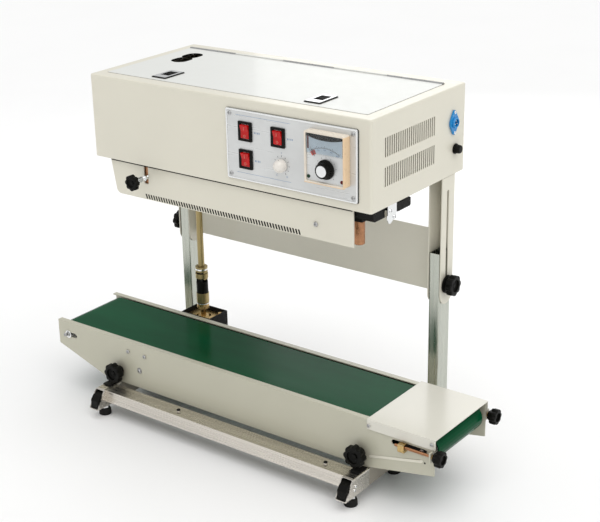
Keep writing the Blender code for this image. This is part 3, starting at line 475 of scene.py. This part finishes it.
def softbox(name, place, target, size, power):
    data = bpy.data.lights.new(name, "AREA")
    data.shape = "RECTANGLE"
    data.size, data.size_y = size
    data.energy = power
    light = bpy.data.objects.new(name, data)
    light.location = place
    light.rotation_euler = (Vector(target) - Vector(place)).to_track_quat("-Z", "Y").to_euler()
    bpy.context.scene.collection.objects.link(light)


def set_light():
    world = bpy.data.worlds.new("studio")
    world.use_nodes = True
    world.node_tree.nodes["Background"].inputs["Color"].default_value = (0.99, 0.995, 1.0, 1.0)
    world.node_tree.nodes["Background"].inputs["Strength"].default_value = 0.62
    bpy.context.scene.world = world
    soft_sun("overhead_light", (0.35, -0.15, 1.0), 1.55, 70.0, (1.0, 0.995, 0.98))
    softbox("rear_softbox", (-0.81, 1.72, 1.15), (0.3, 0.0, 0.2), (0.9, 1.6), 5.5)
    soft_sun("front_light", (-0.1, -1.0, 0.35), 0.12, 60.0)
    bpy.context.scene.view_settings.view_transform = "Standard"


def set_floor():
    floor = bpy.data.meshes.new("studio_floor")
    reach = 14.0
    floor.from_pydata([(-reach, -reach, 0), (reach, -reach, 0), (reach, reach, 0), (-reach, reach, 0)], [],
                      [(0, 1, 2, 3)])
    made = Finish("studio_floor", (0.93, 0.93, 0.93), 0.6)
    made.mottle(0.01, 2.0)
    floor.materials.append(made.material)
    thing = bpy.data.objects.new("studio_floor", floor)
    bpy.context.scene.collection.objects.link(thing)


# ---- CAD nodes that stay in view --------------------------------------------------------
def dress_nodes():
    """Finishes of the nodes whose CAD shape is kept."""
    for node in ("head_casing", "leg_frame"):
        dress(node, CREAM, 0.5)
    for node in ("side_plate_front", "side_plate_rear"):
        dress(node, GREIGE, 0.5)
    # darker base paint here is painted shade
    dress("base_frame", BASE_SHADED_PAINT, 0.5)
    dress("top_lid", LID_WHITE, 0.35)
    dress("end_cover", HOOD, 0.5)
    # the posts' greenish steel tint is painted reflection
    for node in ("post_left", "post_right"):
        dress(node, POST_STEEL_GREEN_REFLECTION, 0.3)
    # the bars' warm steel tint is painted reflection
    dress("front_bars", RAIL_STEEL_WARM_REFLECTION, 0.3)
    dress("feed_guide", CHROME, 0.2)
    for node in ("head_base_plate", "slider_bed"):
        dress(node, GALVANISED)
    for node in ("motor_gear", "drive_tube", "drive_drum", "lid_hinge"):
        dress(node, MACHINED)
    for node in ("roller_left", "roller_right"):
        dress(node, MACHINED, 0.4)
    dress("gear_motor", CASTING, 0.8)
    dress("drive_rod", ZINC, 0.3)
    dress("input_gear", BRASS, 0.2)
    dress("sealing_blocks", BRASS, 0.4)
    dress("gearbox_case", MATT_BLACK, 0.6)
    dress("joint_sleeve", BLACK, 0.4)
    dress("guide_block", MATT_BLACK, 0.5)
    dress("guide_roller", COPPER, 0.3)
    dress("fuse_holder", BLACK, 0.3)
    dress("power_socket", BLUE, 0.5)
    dress("conveyor_belt", BELT, 0.4)
    dress("control_board", BOARD)
    for node in ("band_pulley_front", "band_pulley_rear", "band_idler_front", "band_idler_rear"):
        dress(node, RUBBER)
    for node in ("sealing_band_front", "sealing_band_rear"):
        dress(node, BAND)
    for name in ROCKERS:
        dress("rocker_" + name, RED_LENS, 0.8)


# ---- head --------------------------------------------------------------------------------
def control_panel():
    """Silver face plate with a bright rim, a matt black plate behind it as painted shadow along its right
    edge, corner screws and the rockers' bezels.
    """
    x0, x1, y0, _, z0, z1 = span("control_plate")
    back = -0.3
    face = -2.3
    piece("panel_face", Form().prism("Y", rounded(x0, x1, z0, z1, 3.0), back, face), PANEL, "head", 0.5,
          ("control_plate",))
    rim = Form().ring("Y", rounded(x0 + 0.2, x1 - 0.2, z0 + 0.2, z1 - 0.2, 3.0),
                      rounded(x0 + 2.8, x1 - 2.8, z0 + 2.8, z1 - 2.8, 1.5), face + 0.1, face - 0.7)
    piece("panel_rim", rim, CHROME, "head", 0.35)
    # painted shadow: matt black plate behind the panel, wider on the right, for the dark shaded side face
    shadow_edge = Form().prism("Y", rounded(x0 - 0.2, x1 + 0.9, z0 - 0.2, z1 + 0.2, 3.0), -0.02, -1.0)
    piece("panel_shadow_edge", shadow_edge, MATT_BLACK, "head", 0.0)
    inset = 8.0
    corners = [(x, z) for x in (x0 + inset, x1 - inset) for z in (z0 + inset, z1 - inset)]
    screws("panel_screws", MACHINED, "head", [("Y", x, z, face + 0.1, -1, 3.3) for x, z in corners])
    bezels = Form()
    for name in ROCKERS:
        x, _, z = middle("rocker_" + name)
        bezels.ring("Y", rounded(x - 13.3, x + 13.3, z - 15.7, z + 15.7, 1.2),
                    rounded(x - 8.2, x + 8.2, z - 12.3, z + 12.3, 0.6), face + 0.1, y0)
        bezels.box(x - 9, x + 9, -1.2, -0.6, z - 13, z + 13)
    piece("rocker_bezels", bezels, BLACK, "head", 0.6)
    panel_marks(face)


def panel_marks(face):
    """Generic strokes beside each switch, two rules, and a ring of ticks around the speed knob."""
    near = face - 0.12
    strokes = Form()
    for name in ROCKERS:
        _, right, _, _, _, _ = span("rocker_" + name)
        _, _, z = middle("rocker_" + name)
        for i, width in enumerate((1.6, 1.1, 1.6, 1.3)):
            left = right + 9.5 + 3.0 * i
            strokes.box(left, left + width, near, face + 0.1, z - 1.4, z + 1.4)
    piece("switch_marks", strokes, BLUE_PRINT, "head", 0.0)
    x, _, z = middle("speed_knob")
    ticks = Form()
    for i in range(11):
        far = 15.4 + 0.9 * (i % 5 == 0)
        tick(ticks, x, z, 240.0 - 30.0 * i, 13.2, far, 0.35, near, face + 0.1)
    piece("speed_scale", ticks, DARK_PRINT, "head", 0.0)
    for i, word in enumerate(("0", "5", "10")):
        number_x, number_z = polar(x, z, 19.6, 240.0 - 150.0 * i)
        label("speed_number_" + word, word, number_x, near, number_z - 1.4, 4.0, BLUE_PRINT)
    rules = Form()
    for low in (511.2, 604.3):
        rules.box(33, 139, near, face + 0.1, low, low + 0.5)
    piece("panel_lines", rules, BLUE_PRINT, "head", 0.0)


def label(name, word, x, y, z, size, material):
    """A number on a dial, facing the front."""
    data = bpy.data.curves.new(name, "FONT")
    data.body = word
    data.size = size * MM
    data.align_x = "CENTER"
    data.extrude = 0.03 * MM
    data.resolution_u = 3
    data.materials.append(material)
    thing = bpy.data.objects.new(name, data)
    thing.location = put(x, y, z)
    thing.rotation_euler = (math.radians(90.0), 0.0, 0.0)
    bpy.context.scene.collection.objects.link(thing)
    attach(thing, "head")


def rocker_marks():
    """I and O marks on the two halves of each rocker's leaning front."""
    tilt = math.radians(8.0)
    pivot = 0.5
    front = -6.15
    for name in ROCKERS:
        x, _, z = middle("rocker_" + name)
        marks = Form()
        for h, wide in ((6.0, 0.55), (-6.0, 2.2)):
            y = pivot + (front - pivot) * math.cos(tilt) - h * math.sin(tilt)
            level = z + (front - pivot) * math.sin(tilt) + h * math.cos(tilt)
            if h > 0:
                marks.box(x - wide, x + wide, y - 0.35, y + 0.8, level - 2.4, level + 2.4)
            else:
                outer = circle(x, level, wide, 20)
                marks.ring("Y", outer, circle(x, level, wide - 0.8, 20), y - 0.25, y + 0.8)
        piece("rocker_marks_" + name, marks, SWITCH_PRINT, name + "_switch", 0.0)


def speed_knob():
    """Domed white knob with a dark pointer line."""
    x, _, z = middle("speed_knob")
    _, _, y0, y1, _, _ = span("speed_knob")
    seat = -2.9
    skirt = 4.0
    radius = 10.5
    dome = [(seat, 10.6), (seat - skirt, radius)]
    for i in range(1, 8):
        t = math.radians(12.0 * i)
        dome.append((seat - skirt + (y0 - seat + skirt) * math.sin(t), radius * math.cos(t)))
    knob = Form().turned("Y", x, z, dome)
    knob.rod("Y", x, z, 3.0, seat + 0.1, y1)
    piece("speed_knob_body", knob, WHITE_KNOB, "speed_control", 0.25, ("speed_knob",))
    mark = Form().box(x - 0.45, x + 0.45, seat - 7.6, seat - 3.0, z + 7.6, z + 10.3)
    piece("speed_knob_pointer", mark, DARK_PRINT, "speed_control", 0.0)


def controller():
    """Cream frame with a peach right-hand bar, recessed card, meter window and two lamps."""
    x0, x1, y0, _, z0, z1 = span("controller_case")
    x, _, z = middle("controller_case")
    frame_ring = Form().ring("Y", rounded(x0, x1, z0, z1, 3.5),
                             rounded(x0 + 3.4, x1 - 3.4, z0 + 3.4, z1 - 3.4, 1.5), -2.4, y0)
    piece("controller_frame", frame_ring, IVORY, "head", 0.6, ("controller_case",))
    bar = Form().box(x1 - 3.3, x1 + 0.25, y0 - 0.15, -2.45, z0 + 2.0, z1 - 2.0)
    bar.box(x0 - 0.15, x1 - 1.0, y0 - 0.1, y0 + 2.5, z0 - 0.15, z0 + 1.4)
    piece("controller_side_bar", bar, PEACH, "head", 0.4)
    card = y0 + 2.6
    border = 3.2
    wide = 0.5 * (x1 - x0) - border
    tall = 0.5 * (z1 - z0) - border
    plate = Form().prism("Y", rectangle(x - wide, x + wide, z - tall, z + tall), -2.4, card)
    piece("controller_card", plate, PANEL, "head", 0.1)
    body = Form().prism("Y", rounded(x - 33, x + 33, z - 33, z + 33, 2.0), 3.0, 60.0)
    piece("controller_body", body, MATT_BLACK, "head", 0.6)
    window(x, z, card, wide, tall, y0)
    for name, material, lamp_x in (("power_lamp", GREEN_LENS, 181.1), ("heat_lamp", DARK_RED_LENS, 242.0)):
        dome = [(card + 0.1, 2.9), (card - 0.5, 2.9), (card - 1.4, 2.3), (card - 1.9, 1.2)]
        piece(name, Form().turned("Y", lamp_x, z - 31.0, dome, 24), material, "head", 0.0)


def window(x, z, card, wide, tall, front):
    """Meter window: dial card with a curved scale, red zone, pointer, dark top band and a glass pane."""
    low, high = z + 7.0, z + tall - 1.0
    back = card - 0.3
    left, right = x - wide + 1.0, x + wide - 1.0
    piece("dial_card", Form().box(left, right, back, card + 0.1, low, high), DIAL, "head", 0.0)
    bow = [(x + (right - x) * i / 12.0, high - 8.2 + 4.6 * (i / 12.0) ** 2) for i in range(-12, 13)]
    shade = [(left, high)] + bow + [(right, high)]
    piece("dial_shade", Form().prism("Y", shade, back - 0.9, back + 0.1), BLACK, "head", 0.15)
    radius, centre = 50.0, z - 33.0
    scale = Form()
    line = arc(x, centre, radius, 58, 122, 24) + arc(x, centre, radius - 0.5, 122, 58, 24)
    scale.prism("Y", line, back - 0.1, back + 0.1)
    for i in range(21):
        far = radius + (3.2 if i % 5 == 0 else 1.8)
        tick(scale, x, centre, 122.0 - 64.0 * i / 20.0, radius, far, 0.22, back - 0.1, back + 0.1)
    piece("dial_scale", scale, DARK_PRINT, "head", 0.0)
    for i in range(5):
        number_x, number_z = polar(x, centre, 47.0, 119.0 - 58.0 * i / 4.0)
        label("dial_number_%d" % i, str(100 * i), number_x, back - 0.08, number_z - 1.2, 3.4, BLUE_PRINT)
    zone = arc(x, centre, radius - 1.0, 112, 123, 6) + arc(x, centre, radius - 8.0, 123, 112, 6)
    piece("dial_red_zone", Form().prism("Y", zone, back - 0.12, back + 0.1), RED_PRINT, "head", 0.0)
    stop = Form().box(left + 1.0, left + 3.6, back - 0.5, back + 0.1, z + 13.0, high - 3.0)
    piece("dial_stop", stop, DEEP_RED, "head", 0.1)
    reading = 118.0
    root_x, root_z = polar(x, centre, 40.0, reading)
    pointer = [polar(x, centre, 56.0, reading), (root_x + 0.5, root_z), (root_x - 0.5, root_z)]
    piece("dial_pointer", Form().prism("Y", pointer, back - 0.6, back - 0.35), DARK_PRINT, "head", 0.0)
    pane = Form().box(left - 0.4, right + 0.4, front + 0.35, front + 1.0, low - 0.6, high + 0.3)
    piece("dial_glass", pane, GLASS, "head", 0.15)


def temperature_knob():
    """Black fluted knob with a bright cap, and the ring of ticks on the card behind it."""
    x, _, z = middle("temperature_knob")
    x0, x1, y0, y1, _, _ = span("temperature_knob")
    seat = -14.7
    skirt = 0.5 * (x1 - x0)
    levels = []
    for t, r, depth in ((seat, skirt, 0.0), (seat - 2.2, skirt, 0.0), (seat - 3.4, 13.2, 0.05),
                        (y0 + 2.0, 12.2, 0.06), (y0 + 0.8, 11.8, 0.04), (y0 + 0.3, 11.0, 0.0)):
        levels.append((t, lobed(x, z, r, depth, 24, 4, 1.0)))
    knob = Form().stack("Y", levels)
    knob.rod("Y", x, z, 3.0, seat + 0.1, y1)
    piece("temperature_knob_body", knob, BLACK, "temperature_control", 0.25, ("temperature_knob",))
    cap = [(y0 + 0.6, 9.0), (y0 + 0.2, 9.0), (y0 + 0.05, 8.6), (y0 + 0.02, 5.0)]
    piece("temperature_knob_cap", Form().turned("Y", x, z, cap), CHROME, "temperature_control", 0.0)
    marks = Form()
    card = -13.9
    for i in range(11):
        tick(marks, x, z, 225.0 - 27.0 * i, skirt + 2.0, skirt + 3.9, 0.25, card - 0.1, card + 0.3)
    piece("temperature_scale", marks, DARK_PRINT, "head", 0.0)


def latches():
    """Black bezel with a silver plate around each latch, and the ribbed slider inside it."""
    top = 630.5
    for side, _ in SIDES:
        x, _, _ = middle("latch_slider_" + side)
        _, _, _, _, z0, z1 = span("latch_slider_" + side)
        base = Form().ring("Z", rounded(x - 15.5, x + 15.5, 34.5, 84.5, 2.0),
                           rounded(x - 9.6, x + 9.6, 45.4, 78.6, 0.6), top + 0.02, top + 1.5)
        piece("latch_base_" + side, base, BLACK, "lid", 0.2)
        rim = Form().ring("Z", rounded(x - 14.2, x + 13.4, 37.0, 83.5, 1.6),
                          rounded(x - 9.4, x + 9.4, 50.0, 76.0, 0.8), top + 1.52, top + 2.05)
        piece("latch_frame_" + side, rim, CHROME, "lid", 0.15)
        slider = Form().box(x - 8.8, x + 8.8, 58.1, 77.8, top - 5.6, top + 0.6)
        slider.box(x - 7.4, x + 7.4, 40.1, 66.0, z0, top - 5.3)
        for i in range(4):
            y = 60.0 + 4.2 * i
            slider.box(x - 7.0, x + 7.0, y, y + 1.6, top + 0.5, z1)
        piece("latch_slider_body_" + side, slider, BLACK, "latch_" + side, 0.2, ("latch_slider_" + side,))


def hand_hole(centre, half, radius):
    """Outline of one hand hole, 8 mm longer than it is wide."""
    x, y = centre
    return rounded(x - half, x + half, y - half - 4.0, y + half + 4.0, radius, 8)


def lid_edges():
    """Dark edging inside the two joined hand holes of the lid, each cut open by the other hole."""
    low, high = 627.6, 630.55
    for i, (hole, other) in enumerate((HAND_HOLES, HAND_HOLES[::-1])):
        edging = Form().ring("Z", hand_hole(hole, 16.1, 15.9), hand_hole(hole, 15.4, 15.2), low, high)
        opening = Form().prism("Z", hand_hole(other, 16.0, 16.0), 620.0, 640.0)
        piece("hand_hole_edging_%d" % i, edging, MATT_BLACK, "lid", 0.0, cutter=opening)


def front_cover():
    """Lower cover with its row of slanted slots, and the pressure screw's slot."""
    x0, x1, _, _, z0, z1 = span("front_cover")
    outline = [(x0, z1), (-245.5, 434)] + arc(-235.5, 434, 10, 190, 270, 8) + [(x1, z0), (x1, z1)]
    sheet_front, sheet_back = 6.0, 8.0
    cover = Form().prism("Y", outline, sheet_front, sheet_back)
    px, pz = PRESSURE_SCREW
    tools = Form().prism("Y", rounded(px - 4.6, px + 4.6, pz - 11, z1 - 3.2, 2.0), 2, 12)
    first_slot, pitch = -176.5, 5.65
    low, high = z0 + 1.2, z0 + 9.5
    for i in range(58):
        a = first_slot + i * pitch
        tools.prism("Y", [(a + 0.6, low), (a + 4.0, low), (a + 1.4, high), (a - 2.0, high)], 2, 12)
    piece("front_cover_sheet", cover, CREAM, "head", 0.25, ("front_cover",), cutter=tools)
    # painted shadow: thin matt black strip under the casing's bottom edge for the shadow gap there
    shadow_gap = Form().box(-253, 247, 5.7, 6.2, 482.0, 485.6)
    piece("cover_shadow_gap", shadow_gap, MATT_BLACK, "head", 0.0)
    piece("front_cover_flange", Form().box(-250, 245, 8.1, 26.0, z1 - 2.0, z1), CREAM, "head", 0.3)
    # painted shade: matt black sheet behind the slots so they read as dark openings
    slot_shade = Form().box(-181, 156, 6.5, 9.0, z0 + 0.7, z0 + 11)
    piece("slot_shade_backing", slot_shade, MATT_BLACK, "head", 0.0)
    screws("cover_screw", MACHINED, "head", [("Y", 179.0, 449.0, 6.1, -1, 4.0)])
    block = Form().box(px - 7, px + 7, 9.2, 22, pz - 12, z1 - 1)
    piece("pressure_block", block, COPPER, "head", 0.5)
    nut = Form().prism("Y", circle(px, pz, 5.2, 6), 5.4, 1.4)
    piece("pressure_nut", nut, CHROME, "pressure_screw", 0.4)


def star_knob(node, body, axis, centre, seat, thickness, radius, neck, stud, stud_material):
    """Eight-lobed clamp knob: fluted star, hollow face, turned neck, threaded stud."""
    a, b = centre
    sign = 1.0 if thickness > 0 else -1.0
    soft = 0.14 * abs(thickness)
    end = seat + thickness
    levels = []
    for t, grow, depth in ((seat, -2.2, 0.10), (seat + sign * 0.35 * soft, -0.8, 0.14),
                           (seat + sign * soft, 0.0, 0.16), (end - sign * soft, 0.0, 0.16),
                           (end - sign * 0.3 * soft, -0.8, 0.14), (end, -2.4, 0.08)):
        levels.append((t, lobed(a, b, radius + grow, depth, 8, 8, 1.6)))
    star = Form().stack(axis, levels)
    bowl = Form().turned(axis, a, b, [(seat + 0.60 * thickness, 0.34 * radius),
                                      (seat + 0.72 * thickness, 0.56 * radius),
                                      (seat + 1.3 * thickness, 0.62 * radius)])
    piece(node + "_star", star, BLACK, body, 0.0, (node,), cutter=bowl)
    piece(node + "_neck", Form().turned(axis, a, b, neck), BLACK, body, 0.4)
    piece(node + "_stud", threaded(axis, a, b, *stud), stud_material, body, 0.0)
    boss_r = 0.24 * radius
    boss = Form().turned(axis, a, b, [(seat + 0.55 * thickness, boss_r), (seat + 0.72 * thickness, boss_r),
                                      (seat + 0.76 * thickness, 0.7 * boss_r)])
    piece(node + "_boss", boss, BLACK, body, 0.2)


def threaded(axis, a, b, t0, t1, r):
    """Rod with a row of thread crests."""
    pitch = 1.25
    root = r * 0.86
    count = max(2, int(abs(t1 - t0) / pitch))
    steps = []
    for i in range(count):
        t = t0 + (t1 - t0) * i / count
        steps += [(t, root), (t + (t1 - t0) * 0.5 / count, r)]
    steps.append((t1, root))
    return Form().turned(axis, a, b, steps, 20)


def knobs():
    """Star knobs of the pressure screw, the stand clamps, the height adjusters and the belt take-ups."""
    star_knob("pressure_knob", "pressure_screw", "Y", PRESSURE_SCREW, -24.0, -9.0, 14.0,
              [(-24.5, 6.0), (-21.5, 6.0), (-20.5, 5.4)], (-21.0, 18.0, 3.6), CHROME)
    for side, s in SIDES:
        neck = [(s * 285.1, 15.5), (s * 287.5, 15.5), (s * 287.8, 11.0), (s * 293.5, 11.0)]
        star_knob("clamp_knob_" + side, "clamp_" + side, "X", CLAMP, s * 292.0, s * 11.0, 18.0, neck,
                  (s * 272.0, s * 286.0, 2.7), CHROME)
    for side, _ in SIDES:
        x, _, z = middle("height_knob_" + side)
        star_knob("height_knob_" + side, "adjuster_" + side, "Y", (x, z), -11.5, -14.0, 19.0,
                  [(-1.7, 9.0), (-4.0, 9.0), (-12.5, 9.0)], (-3.0, 8.0, 3.5), CHROME)
    for side in ("front", "rear"):
        x0 = span("takeup_knob_" + side)[0]
        _, y, z = middle("takeup_knob_" + side)
        star_knob("takeup_knob_" + side, "takeup_" + side, "X", (y, z), 409.0, 12.0, 13.3,
                  [(404.6, 7.6), (406.0, 8.4), (410.5, 8.4)], (x0, 406.0, 2.5), COPPER)


def side_details():
    """Pins and screws of the socket, fuse cap, screws of the feed guide, clamp washers, pressure spring."""
    x1 = span("power_socket")[1]
    _, y, z = middle("power_socket")
    pins = Form()
    for i in range(3):
        pin_y, pin_z = polar(y, z, 3.2, 90.0 + 120.0 * i)
        pins.rod("X", pin_y, pin_z, 0.9, x1 - 8.0, x1 - 1.2, 12)
    piece("socket_pins", pins, CHROME, "head", 0.1)
    flange_face = 288.2
    heads = [("X", y, z + rise, flange_face, 1, 2.6) for rise in (-16.5, 16.5)]
    screws("socket_screws", CHROME, "head", heads)
    x1 = span("fuse_holder")[1]
    _, y, z = middle("fuse_holder")
    cap = Form().stack("X", [(x1 - 7.5, lobed(y, z, 7.3, 0.06, 16, 4, 1.0)),
                             (x1 - 1.2, lobed(y, z, 6.8, 0.06, 16, 4, 1.0)),
                             (x1 - 0.3, lobed(y, z, 5.9, 0.0, 16, 4, 1.0))])
    piece("fuse_cap", cap, BLACK, "head", 0.2)
    slot = Form().box(x1 - 0.6, x1 - 0.05, y - 4.0, y + 4.0, z - 0.7, z + 0.7)
    piece("fuse_slot", slot, CHROME, "head", 0.1)
    guide_face = 283.9
    guide_places = ((53.0, 476.5), (64.0, 464.5))
    screws("guide_screw", CHROME, "head", [("X", y, z, guide_face, 1, 3.2) for y, z in guide_places])
    for side, s in SIDES:
        washer = Form().ring("X", circle(*CLAMP, 12.0), circle(*CLAMP, 3.3), s * 284.55, s * 285.0)
        piece("clamp_washer_" + side, washer, CHROME, "clamp_" + side, 0.0)
    spring = Form()
    for i in range(6):
        start = -5.5 - 1.9 * i
        end = -6.5 - 1.9 * i
        spring.ring("Y", circle(*PRESSURE_SCREW, 5.0), circle(*PRESSURE_SCREW, 3.8), start, end)
    piece("pressure_spring", spring, CHROME, "pressure_screw", 0.2)


# ---- conveyor and stand -----------------------------------------------------------------
def conveyor_details():
    """Screws of the side plates, a raised bead in lighter cream as painted highlight, a black disc as
    painted shade in a hole, and the slides, nuts and saddles of the belt take-ups.
    """
    face = -1.0
    rear_face = 158.0
    heads = [("Y", -397.0, 118.5, face - 4.0, -1, 3.6)]
    for x, z in ((283.0, 135.0), (398.0, 137.5)):
        heads.append(("Y", x, z, -3.4, -1, 3.0))
        heads.append(("Y", x, z, 160.4, 1, 3.0))
    for x in (-239.0, -199.0):
        heads.append(("Y", x, 124.0, face - 0.6, -1, 3.6))
    heads.append(("Y", -214.0, 92.0, -1.3, -1, 3.2))
    screws("conveyor_screws", MACHINED, "base", heads)
    # raised bead is real relief; its lighter cream against the greige plate is painted highlight
    bead_highlight = [(285, 77.0), (379, 99.2), (382, 101.6), (380.6, 104.6), (377, 104.0), (284, 81.6),
             (281.6, 79.4), (282.6, 77.2)]
    shrunk = [(x + (331 - x) * 0.012, z + (91.0 - z) * 0.10) for x, z in bead_highlight]
    levels = [(face + 0.1, bead_highlight), (face - 0.35, bead_highlight), (face - 0.8, shrunk)]
    piece("plate_bead_highlight", Form().stack("Y", levels), CREAM, "base", 0.15)
    # painted shade: matt black disc for the dark inside of a hole
    piece("plate_hole_shade", Form().rod("Y", 385.0, 100.0, 1.7, face + 0.2, face - 0.05), MATT_BLACK, "base", 0.0)
    slides = Form()
    for outer, turn in ((face, -1.0), (rear_face, 1.0)):
        low, high = sorted((outer - turn * 1.8, outer + turn * 0.8))
        slides.box(340, 388, low, high, 115.6, 123.0)
    piece("takeup_slides", slides, MATT_BLACK, "base", 0.3)
    nuts = Form()
    saddles = Form()
    bores = Form()
    axle_z = 119.0
    for y, low, high in ((-6.5, -13.0, -1.1), (163.5, 158.1, 170.0)):
        nuts.ring("X", circle(y, axle_z, 4.8, 6), circle(y, axle_z, 3.1, 6), 402.0, 404.0)
        saddles.prism("X", rounded(low, high, 111.6, 125.4, 2.0), 342.4, 353.6)
        bores.rod("X", y, axle_z, 3.2, 335.0, 360.0)
    piece("takeup_nuts", nuts, BRASS, "base", 0.3)
    piece("takeup_saddles", saddles, BRASS, "base", 0.4, cutter=bores)
    washers = Form()
    for turn, y in ((-1.0, face), (1.0, rear_face)):
        low, high = sorted((y + turn * 0.05, y + turn * 0.9))
        washers.ring("Y", circle(-393.0, axle_z, 7.5), circle(-393.0, axle_z, 4.2), low, high)
    piece("axle_washers", washers, CHROME, "base", 0.2)


def stand_details():
    """End plugs and screws of the floor bars, matt black top pads that are partly black plastic and partly
    painted reflection, screws of the rail, and the six feet.
    """
    _, _, y0, _, _, z1 = span("front_bars")
    profile = [(y0 + 1.4, 26.0), (y0 + 2.0, 41.0), (y0 + 9.0, 49.0), (y0 + 30.0, 54.5), (y0 + 30.0, 26.0)]
    plugs = Form()
    for _, s in SIDES:
        low, high = sorted((s * 263.2, s * 280.8))
        plugs.prism("X", profile, low, high)
    piece("bar_plugs", plugs, BLACK, "base", 1.2)
    screws("rail_screws", MATT_BLACK, "base", [("Z", x, -29.0, 58.9, 1, 3.4) for x in (-98.0, 217.0)])
    # matt black top pads: partly black plastic, partly painted reflection of the dark knobs above
    dark_tops = Form()
    for _, s in SIDES:
        low, high = sorted((s * 263.2, s * 281.0))
        dark_tops.box(low, high, -30.0, -4.0, z1 - 0.6, z1 + 0.5)
    piece("bar_tops_dark_reflection", dark_tops, MATT_BLACK, "base", 0.3)
    bar_side = 283.05
    heads = []
    for s in (-1, 1):
        heads.append(("X", -40.5, 42.8, s * bar_side, s, 2.6))
        heads.append(("X", -43.4, 36.9, s * bar_side, s, 2.6))
    screws("stand_screws", CHROME, "base", heads)
    for place in ("front", "middle", "rear"):
        for side, _ in SIDES:
            foot("%s_%s" % (place, side))


def foot(where):
    """Rubber pad with a threaded stem and a hexagon nut."""
    x, y, _ = middle("foot_" + where)
    low = span("foot_" + where)[4]
    steps = [(low, 10.6), (low + 0.6, 11.2), (low + 2.4, 11.4), (10.0, 11.2), (15.0, 10.8), (17.2, 9.8),
             (17.8, 8.6)]
    piece("foot_pad_" + where, Form().turned("Z", x, y, steps, 36), RUBBER, "base", 0.0, ("foot_" + where,))
    piece("foot_stem_" + where, threaded("Z", x, y, 17.6, 23.2, 4.6), CHROME, "base", 0.0)
    piece("foot_nut_" + where, Form().prism("Z", circle(x, y, 8.2, 6), 18.0, 21.6), CHROME, "base", 0.4)


def drive_details():
    """Pins, rings and yokes of the joint sleeve, and the bolted top plate of the gearbox."""
    x, y = DRIVE_SHAFT
    pins = Form()
    for z in (170.0, 217.0):
        for low, high in ((-10.8, -6.0), (6.0, 10.8)):
            pins.rod("X", y, z, 2.4, x + low, x + high, 16)
        for low, high in ((-10.8, -6.0), (6.0, 10.8)):
            pins.rod("Y", x, z, 2.4, y + low, y + high, 16)
    piece("joint_pins", pins, CHROME, "lower_shaft", 0.3)
    collars = Form()
    for low, high in ((161.2, 163.2), (229.5, 232.5)):
        collars.ring("Z", circle(x, y, 11.8), circle(x, y, 5.9), low, high)
    piece("joint_rings", collars, CHROME, "lower_shaft", 0.3)
    yokes = Form()
    for low, high in ((164.2, 183.5), (213.5, 222.8)):
        yokes.ring("Z", circle(x, y, 11.9), circle(x, y, 11.2), low, high)
    piece("joint_yokes", yokes, ZINC, "lower_shaft", 0.3)
    top = Form()
    for dx, dy in ((-26, -16), (26, -16), (-26, 17), (26, 17)):
        top.prism("Z", circle(x + dx, y + dy, 4.4, 6), 136.0, 141.0)
    top.box(x - 31.5, x + 31.5, y - 20.0, y + 24.6, 134.0, 136.0)
    hole = Form().rod("Z", x, y, 14.0, 130.0, 140.0, 40)
    piece("gearbox_plate", top, BRASS, "base", 0.4, cutter=hole)


def motor_details():
    """Raised bands and a blank plate on the motor's round body."""
    x, y, _ = middle("gear_motor")
    x += 6.0
    bands = Form()
    for z in (568.0, 576.0, 584.0, 592.0):
        bands.ring("Z", circle(x, y, 28.2), circle(x, y, 27.1), z, z + 3.0)
    piece("motor_fins", bands, CASTING, "head", 0.5)
    plate = Form().box(x - 14, x + 14, y - 28.6, y - 26.0, 574, 596)
    piece("motor_plate", plate, GALVANISED, "head", 0.3)


set_camera()
set_light()
set_floor()
dress_nodes()
control_panel()
rocker_marks()
speed_knob()
controller()
temperature_knob()
latches()
lid_edges()
front_cover()
knobs()
side_details()
conveyor_details()
stand_details()
drive_details()
motor_details()
